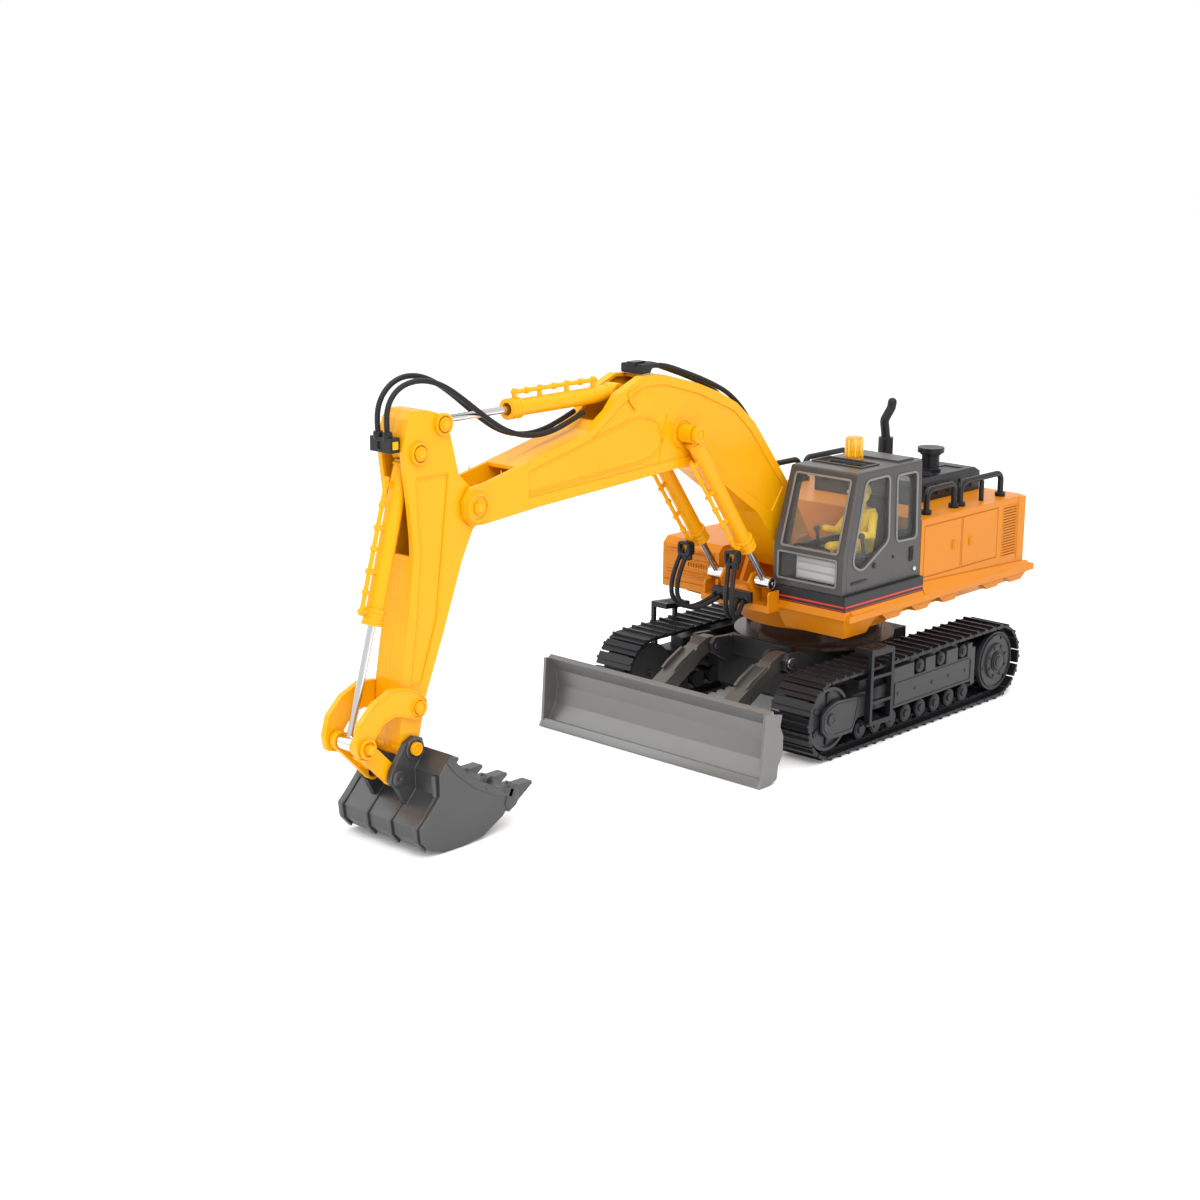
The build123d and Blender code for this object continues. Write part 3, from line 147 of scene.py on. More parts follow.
def node(tree, kind, **values):
    """Shader node with its properties and inputs set by name."""
    made = tree.nodes.new(kind)
    for key, value in values.items():
        if key in made.inputs.keys():
            made.inputs[key].default_value = value
        else:
            setattr(made, key, value)
    return made


def math_node(tree, operation, first, second):
    made = tree.nodes.new("ShaderNodeMath")
    made.operation = operation
    for socket, value in zip(made.inputs, (first, second)):
        if isinstance(value, (int, float)):
            socket.default_value = value
        else:
            tree.links.new(value, socket)
    return made.outputs[0]


def tone_and_edge_highlight_group():
    """Slight cloudy change of colour over a moulded or painted surface, plus a painted highlight that
    lightens the colour along rounded edges.
    """
    found = bpy.data.node_groups.get("Mould tone and edge highlight")
    if found:
        return found
    group, inside, outside = new_group(
        "Mould tone and edge highlight",
        [("Colour", "NodeSocketColor", (0.5, 0.5, 0.5, 1)), ("Cloud", "NodeSocketFloat", 0.06),
         ("Edge", "NodeSocketFloat", 0.25), ("Radius", "NodeSocketFloat", 0.0006)],
        [("Colour", "NodeSocketColor"), ("Edge highlight mask", "NodeSocketFloat")])
    place = node(group, "ShaderNodeTexCoord")
    cloud = node(group, "ShaderNodeTexNoise", Scale=28.0, Detail=4.0, Roughness=0.55)
    group.links.new(place.outputs["Object"], cloud.inputs["Vector"])
    centred = math_node(group, "SUBTRACT", cloud.outputs[0], 0.5)
    swing = math_node(group, "MULTIPLY", centred, inside.outputs["Cloud"])
    level = math_node(group, "ADD", math_node(group, "MULTIPLY", swing, 2.0), 1.0)
    shaded = node(group, "ShaderNodeVectorMath", operation="SCALE")
    group.links.new(inside.outputs["Colour"], shaded.inputs[0])
    group.links.new(level, shaded.inputs["Scale"])
    # Painted highlight: where the rounded normal bends away from the flat one, the colour is lifted by the
    # Edge amount.
    rounded = node(group, "ShaderNodeBevel", samples=4)
    group.links.new(inside.outputs["Radius"], rounded.inputs["Radius"])
    flat = node(group, "ShaderNodeNewGeometry")
    align = node(group, "ShaderNodeVectorMath", operation="DOT_PRODUCT")
    group.links.new(rounded.outputs[0], align.inputs[0])
    group.links.new(flat.outputs["Normal"], align.inputs[1])
    bent = math_node(group, "SUBTRACT", 1.0, align.outputs["Value"])
    mask = math_node(group, "MINIMUM", math_node(group, "MULTIPLY", bent, 5.0), 1.0)
    lift = math_node(group, "ADD", math_node(group, "MULTIPLY", mask, inside.outputs["Edge"]), 1.0)
    highlighted = node(group, "ShaderNodeVectorMath", operation="SCALE")
    group.links.new(shaded.outputs[0], highlighted.inputs[0])
    group.links.new(lift, highlighted.inputs["Scale"])
    group.links.new(highlighted.outputs[0], outside.inputs["Colour"])
    group.links.new(mask, outside.inputs["Edge highlight mask"])
    return group


def grain_group():
    """Fine grain: roughness that wanders and a height for the bump."""
    found = bpy.data.node_groups.get("Mould grain")
    if found:
        return found
    group, inside, outside = new_group(
        "Mould grain",
        [("Roughness", "NodeSocketFloat", 0.4), ("Wander", "NodeSocketFloat", 0.06),
         ("Grain size", "NodeSocketFloat", 2500.0)],
        [("Roughness", "NodeSocketFloat"), ("Height", "NodeSocketFloat")])
    place = node(group, "ShaderNodeTexCoord")
    fine = node(group, "ShaderNodeTexNoise", Detail=3.0, Roughness=0.6)
    group.links.new(place.outputs["Object"], fine.inputs["Vector"])
    group.links.new(inside.outputs["Grain size"], fine.inputs["Scale"])
    broad = node(group, "ShaderNodeTexNoise", Scale=60.0, Detail=3.0)
    group.links.new(place.outputs["Object"], broad.inputs["Vector"])
    swing = math_node(group, "MULTIPLY", math_node(group, "SUBTRACT", broad.outputs[0], 0.5),
                      inside.outputs["Wander"])
    total = math_node(group, "ADD", inside.outputs["Roughness"], math_node(group, "MULTIPLY", swing, 2.0))
    group.links.new(total, outside.inputs["Roughness"])
    group.links.new(fine.outputs[0], outside.inputs["Height"])
    return group


def surface(name, colour, roughness, grain=0.05, grain_size=2500.0, cloud=0.05, edge=0.2, wander=0.06,
            metallic=0.0, coat=0.0, specular=0.5, radius=None):
    """Opaque moulded, painted or metal finish."""
    found = bpy.data.materials.get(name)
    if found:
        return found
    made = bpy.data.materials.new(name)
    made.use_nodes = True
    tree = made.node_tree
    shader = tree.nodes["Principled BSDF"]
    radius = finishes().edge_radius if radius is None else radius
    # The tone group paints a highlight into the colour: the Edge value lightens it along rounded edges,
    # besides the cloudy tone.
    tone = tree.nodes.new("ShaderNodeGroup")
    tone.node_tree = tone_and_edge_highlight_group()
    for key, value in (("Colour", (*colour, 1)), ("Cloud", cloud), ("Edge", edge), ("Radius", radius)):
        tone.inputs[key].default_value = value
    tree.links.new(tone.outputs["Colour"], shader.inputs["Base Color"])
    texture = tree.nodes.new("ShaderNodeGroup")
    texture.node_tree = grain_group()
    for key, value in (("Roughness", roughness), ("Wander", wander), ("Grain size", grain_size)):
        texture.inputs[key].default_value = value
    tree.links.new(texture.outputs["Roughness"], shader.inputs["Roughness"])
    rounded = node(tree, "ShaderNodeBevel", samples=4, Radius=radius)
    bump = node(tree, "ShaderNodeBump", Strength=grain, Distance=0.0002)
    tree.links.new(texture.outputs["Height"], bump.inputs["Height"])
    tree.links.new(rounded.outputs[0], bump.inputs["Normal"])
    tree.links.new(bump.outputs[0], shader.inputs["Normal"])
    shader.inputs["Metallic"].default_value = metallic
    shader.inputs["Coat Weight"].default_value = coat
    shader.inputs["Coat Roughness"].default_value = 0.12
    shader.inputs["Specular IOR Level"].default_value = specular
    return made


def clear(name, colour, alpha, roughness, transmission=0.0):
    """Clear moulded pane or lens, either mostly see-through or solid clear plastic."""
    found = bpy.data.materials.get(name)
    if found:
        return found
    made = bpy.data.materials.new(name)
    made.use_nodes = True
    tree = made.node_tree
    shader = tree.nodes["Principled BSDF"]
    shader.inputs["Base Color"].default_value = (*colour, 1)
    shader.inputs["Transmission Weight"].default_value = transmission
    shader.inputs["IOR"].default_value = 1.46
    shader.inputs["Alpha"].default_value = alpha
    texture = tree.nodes.new("ShaderNodeGroup")
    texture.node_tree = grain_group()
    for key, value in (("Roughness", roughness), ("Wander", 0.02), ("Grain size", 150.0)):
        texture.inputs[key].default_value = value
    tree.links.new(texture.outputs["Roughness"], shader.inputs["Roughness"])
    return made


def finish_for(slot):
    """The material for one of the record's slots."""
    tone = finishes()
    # Each edge value sets how strongly a painted highlight lightens that finish's colour along its rounded
    # edges.
    made = {
        "yellow_plastic": lambda: surface("Boom yellow plastic", tone.boom_yellow, 0.30, coat=0.06,
                                          specular=0.22,
                                          edge=0.12),
        "house_yellow": lambda: surface("House yellow plastic", tone.house_yellow, 0.34, coat=0.06,
                                        specular=0.22,
                                        edge=0.12),
        "cab_grey": lambda: surface("Cab grey plastic", tone.cab_grey, 0.32, grain=0.06, specular=0.4),
        "dark_grey": lambda: surface("Skirt grey plastic", (0.016, 0.016, 0.018), 0.36, grain=0.06, edge=0.4,
                                     specular=0.3),
        "black_plastic": lambda: surface("Track black plastic", tone.track_black, 0.34, grain=0.08, edge=0.8,
                                         cloud=0.12, specular=0.3),
        "frame_grey": lambda: surface("Track frame grey plastic", tone.frame_grey, 0.36, grain=0.08, edge=0.3,
                                       specular=0.35),
        "blade_metal": lambda: surface("Blade grey paint", tone.blade_grey, 0.36, metallic=0.55, grain=0.10,
                                       grain_size=1800.0, edge=0.35, cloud=0.08),
        "arm_metal": lambda: surface("Push arm grey paint", (0.13, 0.125, 0.115), 0.30, metallic=0.6,
                                     grain=0.10,
                                     grain_size=1800.0, edge=0.5, cloud=0.12),
        "bucket_metal": lambda: surface("Bucket grey paint", tone.bucket_grey, 0.33, metallic=0.6, grain=0.10,
                                        grain_size=1800.0, edge=0.6, cloud=0.10),
        "chrome_rod": lambda: surface("Cylinder rod chrome", (0.62, 0.62, 0.63), 0.12, metallic=1.0,
                                      grain=0.01,
                                      edge=0.0, wander=0.03),
        "pin_steel": lambda: surface("Pin steel", (0.55, 0.55, 0.56), 0.28, metallic=1.0, grain=0.05),
        "clear_window": lambda: clear("Cab window", (0.30, 0.31, 0.31), 0.10, 0.04),
        "amber_lens": lambda: clear("Beacon amber", (1.0, 0.50, 0.01), 0.80, 0.06, 0.55),
        "figure_yellow": lambda: surface("Doll yellow plastic", (0.90, 0.62, 0.004), 0.40, edge=0.05),
        "seat_black": lambda: surface("Seat black plastic", (0.02, 0.02, 0.022), 0.5, grain=0.3, edge=0.5),
        "hose_rubber": lambda: surface("Hose rubber", (0.008, 0.008, 0.009), 0.42, grain=0.12, edge=0.0,
                                       specular=0.3),
        "ring_brown": lambda: surface("Slew ring brown plastic", (0.050, 0.020, 0.010), 0.22, grain=0.08,
                                      edge=0.6),
        "cell_wrap": lambda: surface("Battery wrap", (0.03, 0.12, 0.42), 0.3),
        "window_rubber": lambda: surface("Window rubber grey", (0.17, 0.17, 0.168), 0.30, grain=0.06,
                                         edge=0.35),
        "pale_board": lambda: surface("Toe board grey", (0.36, 0.37, 0.38), 0.45, grain=0.08),
        "reflector_yellow": lambda: surface("Beacon reflector yellow", (1.0, 0.70, 0.03), 0.25, edge=0.0),
        "stripe_red": lambda: surface("Skirt stripe red", (0.52, 0.030, 0.012), 0.35, edge=0.0),
        "board_green": lambda: surface("Board green lacquer", (0.01, 0.10, 0.04), 0.35),
    }[slot]
    return made()


# ---- modelling helpers -----------------------------------------------------------------
def deselect():
    bpy.ops.object.select_all(action="DESELECT")


def activate(piece):
    deselect()
    piece.select_set(True)
    bpy.context.view_layer.objects.active = piece


def settle(piece, name, body, slot, material=None, smooth=35.0):
    """Puts the piece's place in its mesh, gives it its finish and makes it ride on its body."""
    activate(piece)
    bpy.ops.object.transform_apply(location=True, rotation=True, scale=True)
    if smooth:
        bpy.ops.object.shade_smooth_by_angle(angle=math.radians(smooth))
    piece.name = name
    piece.data.name = name
    piece.data.materials.clear()
    piece.data.materials.append(finish_for(material or slot))
    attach(piece, body)
    return piece


def round_edges(piece, width, segments=2, angle=30.0):
    """Bevels the sharp edges and applies the modifier."""
    activate(piece)
    rounding = piece.modifiers.new("Rounding", "BEVEL")
    rounding.width = width
    rounding.segments = segments
    rounding.limit_method = "ANGLE"
    rounding.angle_limit = math.radians(angle)
    bpy.ops.object.modifier_apply(modifier=rounding.name)
    return piece


def box_piece(x, y, z, rounding=0.3):
    """Block between millimetre limits, with rounded edges."""
    deselect()
    bpy.ops.mesh.primitive_cube_add(size=1.0)
    piece = bpy.context.object
    piece.scale = [(high - low) * MM for low, high in (x, y, z)]
    piece.location = at(*[(high + low) / 2 for low, high in (x, y, z)])
    bpy.ops.object.transform_apply(location=True, rotation=True, scale=True)
    return round_edges(piece, rounding * MM)


def rod_piece(start, end, radius, rounding=0.3, sides=32, segments=2):
    """Round bar from one millimetre point to another, its ends eased."""
    deselect()
    low, high = at(*start), at(*end)
    along = high - low
    bpy.ops.mesh.primitive_cylinder_add(vertices=sides, radius=radius * MM, depth=along.length)
    piece = bpy.context.object
    piece.rotation_euler = along.to_track_quat("Z", "Y").to_euler()
    piece.location = (low + high) / 2
    bpy.ops.object.transform_apply(location=True, rotation=True, scale=True)
    return round_edges(piece, rounding * MM, segments, 50)


def slab(points, reach, corner=0.0, rim=0.0, rounding=0.2):
    """Flat outline with eased corners pushed out along reach; a rim width leaves only a frame of it."""
    deselect()
    bpy.ops.mesh.primitive_circle_add(vertices=len(points), radius=0.01, fill_type="NGON")
    piece = bpy.context.object
    for vertex, point in zip(piece.data.vertices, points):
        vertex.co = at(*point)
    bpy.ops.object.mode_set(mode="EDIT")
    bpy.ops.mesh.select_mode(type="VERT")
    bpy.ops.mesh.select_all(action="SELECT")
    if corner:
        bpy.ops.mesh.bevel(offset=corner * MM, segments=5, affect="VERTICES")
    bpy.ops.mesh.select_mode(type="FACE")
    bpy.ops.mesh.select_all(action="SELECT")
    if rim:
        bpy.ops.mesh.inset(thickness=rim * MM)
        bpy.ops.mesh.delete(type="FACE")
        bpy.ops.mesh.select_all(action="SELECT")
    bpy.ops.mesh.extrude_region_move(TRANSFORM_OT_translate={"value": Vector(reach) * MM})
    bpy.ops.mesh.select_all(action="SELECT")
    bpy.ops.mesh.normals_make_consistent(inside=False)
    bpy.ops.object.mode_set(mode="OBJECT")
    return round_edges(piece, rounding * MM)


def side_slab(outline, x, corner=0.0, rim=0.0, rounding=0.2):
    """Slab whose (y, z) outline lies across the machine, between two x planes."""
    return slab([(x[0], y, z) for y, z in outline], (x[1] - x[0], 0, 0), corner, rim, rounding)


def ring_piece(centre, radius, x, width, rounding=0.25):
    """Raised ring with its axis across the machine."""
    outline = [(centre[0] + radius * math.cos(math.radians(a)),
                centre[1] + radius * math.sin(math.radians(a)))
               for a in range(0, 360, 9)]
    return side_slab(outline, x, 0.0, width, rounding)


def hexagon(centre, radius):
    return [(centre[0] + radius * math.cos(math.radians(a)), centre[1] + radius * math.sin(math.radians(a)))
            for a in range(0, 360, 60)]


def joined(pieces):
    """One object from several."""
    deselect()
    for piece in pieces:
        piece.select_set(True)
    bpy.context.view_layer.objects.active = pieces[0]
    bpy.ops.object.join()
    return bpy.context.object


# ---- hoses -----------------------------------------------------------------------------
ARM_ROUTE = [(1.0, -357.6, 211.2, 0.0), (1.0, -358.6, 219.6, 0.0), (1.0, -356.6, 228.4, 0.1),
             (1.03, -350.4, 235.2, 0.45), (1.08, -341.6, 238.6, 0.9), (1.13, -331.6, 238.4, 1.0),
             (1.2, -321.0, 234.9, 1.0), (1.2, -309.8, 228.3, 1.0), (1.15, -298.8, 220.2, 0.7),
             (1.1, -287.5, 211.9, 0.3), (1.0, -275.5, 204.6, 0.0), (1.0, -261.5, 200.4, 0.0),
             (1.0, -247.0, 199.9, 0.0), (1.0, -232.0, 203.0, 0.0), (1.0, -217.5, 208.2, 0.0)]
BOOM_ROUTE = [(-167.9, 228.2), (-160.0, 228.6), (-150.0, 226.9), (-138.0, 223.0), (-124.0, 218.3),
              (-110.0, 212.9),
              (-97.0, 206.9), (-85.5, 198.4), (-75.5, 187.4), (-65.0, 174.5), (-54.5, 161.4)]
LIFT_ROUTE = [(0.0, 0.0), (-0.18, -8.6), (-0.32, -17.6), (-0.35, -27.5), (-0.15, -33.4), (0.18, -36.35),
              (0.55, -35.4)]
MANIFOLD_FACE = (-85.6, 81.4)
LIFT_CLIP = (17.8, -104.92, 112.24)


def spline_points(route):
    """Points along the smooth line that a route's control points give."""
    curve = bpy.data.curves.new("route", "CURVE")
    curve.dimensions = "3D"
    curve.resolution_u = 24
    line = curve.splines.new("NURBS")
    line.points.add(len(route) - 1)
    for knot, place in zip(line.points, route):
        knot.co = (*at(*place), 1.0)
    line.order_u = 3
    line.use_endpoint_u = True
    carrier = bpy.data.objects.new("route", curve)
    bpy.context.scene.collection.objects.link(carrier)
    bpy.context.view_layer.update()
    flat = bpy.data.meshes.new_from_object(carrier.evaluated_get(bpy.context.evaluated_depsgraph_get()))
    points = [vertex.co.copy() for vertex in flat.vertices]
    bpy.data.objects.remove(carrier)
    bpy.data.curves.remove(curve)
    bpy.data.meshes.remove(flat)
    return points


def even_points(points, step):
    """The same line with its points evenly spaced."""
    lengths = [0.0]
    for first, second in zip(points, points[1:]):
        lengths.append(lengths[-1] + (second - first).length)
    count = max(8, round(lengths[-1] / step))
    spaced, index = [], 0
    for number in range(count + 1):
        target = lengths[-1] * number / count
        while index < len(points) - 2 and lengths[index + 1] < target:
            index += 1
        span = lengths[index + 1] - lengths[index]
        share = (target - lengths[index]) / span if span else 0.0
        spaced.append(points[index].lerp(points[index + 1], min(1.0, share)))
    return spaced, lengths[-1]


def ribbed_hose(name, route, body, bend=None):
    """Corrugated hose along a route."""
    sizes = hose_sizes()
    line, length = even_points(spline_points(route), sizes.rib_pitch / 4)
    sides = 12
    across = (line[1] - line[0]).orthogonal().normalized()
    vertices, faces = [], []
    for number, place in enumerate(line):
        after = line[min(number + 1, len(line) - 1)]
        before = line[max(number - 1, 0)]
        ahead = (after - before).normalized()
        across = (across - ahead * across.dot(ahead)).normalized()
        other = ahead.cross(across)
        radius = sizes.radius * (1.0, 0.97, 0.86, 0.97)[number % 4]
        for side in range(sides):
            angle = 2 * math.pi * side / sides
            vertices.append(place + (across * math.cos(angle) + other * math.sin(angle)) * radius)
    for ring in range(len(line) - 1):
        for side in range(sides):
            beside = (side + 1) % sides
            faces.append((ring * sides + side, ring * sides + beside, (ring + 1) * sides + beside,
                          (ring + 1) * sides + side))
    faces.append(tuple(reversed(range(sides))))
    faces.append(tuple(range((len(line) - 1) * sides, len(line) * sides)))
    mesh = bpy.data.meshes.new(name)
    mesh.from_pydata([tuple(place) for place in vertices], [], faces)
    piece = bpy.data.objects.new(name, mesh)
    bpy.context.scene.collection.objects.link(piece)
    activate(piece)
    bpy.ops.object.shade_smooth_by_angle(angle=math.radians(50))
    mesh.materials.append(finish_for("hose_rubber"))
    if bend:
        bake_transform(piece)
    else:
        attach(piece, body)
    return piece


class EXCAVATOR_OT_hoses(bpy.types.Operator):
    """Makes the ribbed hydraulic hoses"""

    bl_idname = "excavator.hoses"
    bl_label = "Hydraulic hoses"

    def execute(self, context):
        for number, (x, sag) in enumerate(((-3.2, 0.0), (3.6, 1.8))):
            route = [(x * spread, y, z - sag * share) for spread, y, z, share in ARM_ROUTE]
            hose = ribbed_hose(f"arm_hose_{number + 1}", route, None,
                               ("arm", "boom", at(0, -345, 230), at(0, -262, 200)))
            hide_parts("arm_hoses")
        for number, x in enumerate((-4.6, 4.6)):
            route = [(x, y, z) for y, z in BOOM_ROUTE]
            hose = ribbed_hose(f"boom_hose_{number + 1}", route, "boom")
            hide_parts("boom_hoses")
        for side, side_name, ends in ((1, "left", (6.6, 10.8)), (-1, "right", (-11.4, -7.2))):
            for number, (step, end) in enumerate(zip((-2.2, 2.2), ends)):
                x, y, z = side * LIFT_CLIP[0] + step, LIFT_CLIP[1], LIFT_CLIP[2]
                shares = LIFT_ROUTE + [(1.0, MANIFOLD_FACE[1] - z)]
                route = [(x + (end - x) * share, y + (MANIFOLD_FACE[0] - y) * share, z + drop)
                         for share, drop in shares]
                hose = ribbed_hose(f"lift_hose_{side_name}_{number + 1}", route, None,
                                   ("boom", "house", at(0, -104, 110), at(0, -92, 78)))
                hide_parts(f"lift_hoses_{side_name}")
        return {"FINISHED"}


# ---- finishes for the moulded parts ------------------------------------------------------
class EXCAVATOR_OT_finishes(bpy.types.Operator):
    """Gives every part of the frame its moulded, painted, chrome or clear finish"""

    bl_idname = "excavator.finishes"
    bl_label = "Part finishes"

    def execute(self, context):
        for name, part in frame["nodes"].items():
            part.data.materials.clear()
            part.data.materials.append(finish_for(SLOT_OF[name]))
        return {"FINISHED"}


# ---- cab -------------------------------------------------------------------------------
CAB_X = (18.7, 69.2)
CAB_ROOF_X = (20.0, 67.9)
CAB_FRONT, CAB_ROOF_FRONT = -67.1, -54.0
CAB_KINK, CAB_ROOF = 115.0, 161.8


def windscreen_point(x, z, out=0.0):
    """Point on the cab's front, which leans back above the kink."""
    lean = (CAB_ROOF_FRONT - CAB_FRONT) / (CAB_ROOF - CAB_KINK)
    return (x, CAB_FRONT + lean * max(0.0, z - CAB_KINK) - out, z)


def door_x(z, side=1, out=0.0):
    share = max(0.0, (z - CAB_KINK) / (CAB_ROOF - CAB_KINK))
    low, high = (CAB_X[1], CAB_ROOF_X[1]) if side > 0 else (CAB_X[0], CAB_ROOF_X[0])
    return low + (high - low) * share + side * out


def side_frame(outline, side, out, reach, corner, rim):
    return slab([(door_x(z, side, out), y, z) for y, z in outline], (side * reach, 0, 0), corner, rim)


class EXCAVATOR_OT_cab(bpy.types.Operator):
    """Makes the cab's window rubbers, door lines, handle, wiper, boards, stripes and roof hatch rim"""

    bl_idname = "excavator.cab"
    bl_label = "Cab fittings"

    def execute(self, context):
        lean = Vector((0, -0.55, 0.15))
        screen = [windscreen_point(*place, 0.1) for place in ((23.2, 114.9), (65.6, 114.9), (65.2, 158.2),
                                                              (24.0, 158.2))]
        rubbers = [slab(screen, lean, 2.2, 1.3)]
        lower = [windscreen_point(*place, 0.1) for place in ((21.3, 95.0), (65.1, 95.0), (65.3, 112.4),
                                                             (21.5, 112.4))]
        rubbers.append(slab(lower, (0, -0.5, 0), 1.8, 1.2))
        door = [(-58.8, 107.8), (-46.0, 157.2), (-21.4, 157.6), (-21.6, 117.4), (-48.6, 102.6)]
        light = [(-15.0, 115.2), (-15.0, 156.3), (7.0, 156.3), (7.0, 114.6)]
        rubbers.append(side_frame(door, 1, -0.15, 0.75, 4.2, 1.25))
        rubbers.append(side_frame(light, 1, -0.15, 0.75, 3.8, 1.25))
        far = [(-56.4, 110.8), (-46.6, 155.2), (6.4, 155.2), (6.4, 110.8)]
        rubbers.append(side_frame(far, -1, -0.15, 0.75, 3.8, 1.2))
        settle(joined(rubbers), "cab_window_rubbers", "house", "cab_grey", "window_rubber")

        lines = [side_frame([(-18.6, 92.4), (-18.6, 159.2), (-17.9, 159.2), (-17.9, 92.4)], 1, -0.3, 0.42,
                            0.0, 0.0),
                 side_frame([(-63.4, 92.2), (-62.9, 115.0), (-50.8, 159.2), (-50.1, 159.2), (-62.2, 115.0),
                             (-62.7, 92.2)],
                            1, -0.3, 0.42, 0.0, 0.0)]
        settle(joined(lines), "cab_door_lines", "house", "cab_grey")

        handle = [box_piece((69.0, 70.1), (-0.2, 3.6), (101.6, 110.4), 0.35),
                  box_piece((69.6, 70.9), (1.0, 2.2), (102.6, 109.4), 0.4),
                  box_piece((68.9, 69.9), (-58.6, -43.0), (96.6, 98.2), 0.3),
                  rod_piece((68.8, -36.1, 105.0), (70.0, -36.1, 105.0), 1.7, 0.5),
                  rod_piece((68.8, -17.0, 107.2), (69.8, -17.0, 107.2), 1.0, 0.3)]
        settle(joined(handle), "cab_door_handle", "house", "dark_grey")
        lock = [rod_piece((68.8, 4.9, 96.6), (70.3, 4.9, 96.6), 1.5, 0.5)]
        settle(joined(lock), "cab_door_lock", "house", "chrome_rod")

        blade = [slab([windscreen_point(*place, 0.8) for place in ((33.5, 116.2), (46.5, 118.6),
                                                                   (46.5, 119.8), (33.5, 117.6))],
                      (0, -0.7, 0.1), 0.3),
                 slab([windscreen_point(*place, 0.8) for place in ((46.0, 118.4), (60.2, 116.4),
                                                                   (60.2, 117.5), (46.0, 119.9))],
                      (0, -0.7, 0.1), 0.3),
                 rod_piece(windscreen_point(46.2, 119.0, 0.2), windscreen_point(46.2, 119.0, 2.0), 1.4, 0.4)]
        settle(joined(blade), "cab_wiper", "house", "seat_black")

        boards = [box_piece((33.6, 63.6), (-64.6, -63.9), (96.6, 110.8), 0.25)]
        for low, high in ((97.6, 101.6), (102.4, 106.6), (107.4, 110.2)):
            boards.append(box_piece((34.6, 63.0), (-65.1, -64.3), (low, high), 0.3))
        settle(joined(boards), "cab_toe_boards", "house", "cab_grey", "pale_board")

        skirt_x, skirt_y = (18.3, 72.3), (-68.2, 11.5)
        stripes = []
        for low, high in ((84.6, 85.7), (82.7, 83.1)):
            stripes.append(box_piece((skirt_x[0] + 0.2, skirt_x[1] + 0.15),
                                     (skirt_y[0] - 0.15, skirt_y[0] + 0.4), (low, high), 0.05))
            stripes.append(box_piece((skirt_x[1] - 0.4, skirt_x[1] + 0.15),
                                     (skirt_y[0] - 0.15, skirt_y[1] - 0.2), (low, high), 0.05))
        settle(joined(stripes), "cab_skirt_stripes", "house", "dark_grey", "stripe_red")

        rim = slab([(22.4, -39.1, CAB_ROOF - 0.1), (59.6, -39.1, CAB_ROOF - 0.1),
                    (59.6, -19.9, CAB_ROOF - 0.1),
                    (22.4, -19.9, CAB_ROOF - 0.1)], (0, 0, 1.0), 1.6, 1.4, 0.3)
        inner = slab([(24.0, -37.6, CAB_ROOF - 2.0), (58.0, -37.6, CAB_ROOF - 2.0),
                      (58.0, -21.4, CAB_ROOF - 2.0),
                      (24.0, -21.4, CAB_ROOF - 2.0)], (0, 0, 1.6), 1.2, 1.0, 0.2)
        settle(joined([rim, inner]), "cab_hatch_rim", "house", "cab_grey")

        bulb = [rod_piece((35.5, -13.6, 163.8), (35.5, -13.6, 170.5), 2.4, 1.2, segments=4),
                rod_piece((35.5, -13.6, 163.4), (35.5, -13.6, 164.6), 4.2, 0.3)]
        for angle in range(0, 360, 45):
            x, y = 35.5 + 5.25 * math.cos(math.radians(angle)), -13.6 + 5.25 * math.sin(math.radians(angle))
            bulb.append(rod_piece((x, y, 163.4), (x, y, 173.6), 0.42, 0.15, 12))
        settle(joined(bulb), "beacon_reflector", "house", "amber_lens", "reflector_yellow")
        return {"FINISHED"}


# ---- house -----------------------------------------------------------------------------
class EXCAVATOR_OT_house(bpy.types.Operator):
    """Makes the housing's latches, panel beads, corner strips, cabinet grille and hose fitting"""

    bl_idname = "excavator.house"
    bl_label = "House fittings"

    def execute(self, context):
        beads = []
        for side in (-1, 1):
            for y, z in ((47.0, 104.8), (65.7, 104.2)):
                beads.append(box_piece(sorted((side * 69.2, side * 70.3)), (y - 1.6, y + 1.6),
                                       (z - 2.6, z + 2.6), 0.35))
                beads.append(box_piece(sorted((side * 70.0, side * 70.8)), (y - 0.5, y + 0.5),
                                       (z - 1.8, z + 1.8), 0.25))
            beads.append(box_piece(sorted((side * 69.0, side * 69.9)), (120.2, 121.0), (84, 124.4), 0.2))
            beads.append(box_piece(sorted((side * 69.0, side * 69.8)), (102.2, 102.9), (87.4, 120.8), 0.2))
            beads.append(box_piece(sorted((side * 69.0, side * 69.8)), (119.1, 119.7), (87.4, 120.8), 0.2))
            beads.append(box_piece(sorted((side * 69.0, side * 69.8)), (102.2, 119.7), (120.4, 121.0), 0.2))
        settle(joined(beads), "housing_beads", "house", "house_yellow")

        slats = [box_piece((-66, -28), (-66.3, -65.0), (z, z + 0.9), 0.2) for z in (83.4, 85.4, 87.4, 98.6,
                                                                                    100.6)]
        slats.append(slab([(-51, -65.7, 93.6), (-32, -65.7, 93.6), (-32, -65.7, 99.4), (-51, -65.7, 99.4)],
                          (0, -0.6, 0), 1.0, 0.8))
        settle(joined(slats), "cabinet_grille", "house", "house_yellow")

        collars = []
        for x in (-11.4, -7.2, 6.6, 10.8):
            collars.append(rod_piece((x, -81.6, 82.9), (x, -84.9, 81.7), 2.7, 0.5, 24, 3))
        plate = slab([(-14.6, -83.8, 80.0), (13.8, -83.8, 80.0), (13.8, -83.8, 87.2), (-14.6, -83.8, 87.2)],
                     (0, -0.9, 0), 3.2)
        collars.append(plate)
        settle(joined(collars), "hose_fitting_collars", "house", "black_plastic")

        screws = []
        for side in (-1, 1):
            for y in (20, 60, 100, 128):
                screws.append(rod_piece((side * 71.8, y, 79.3), (side * 71.8, y, 80.1), 1.3, 0.3, 20))
        settle(joined(screws), "deck_screws", "house", "house_yellow")
        return {"FINISHED"}


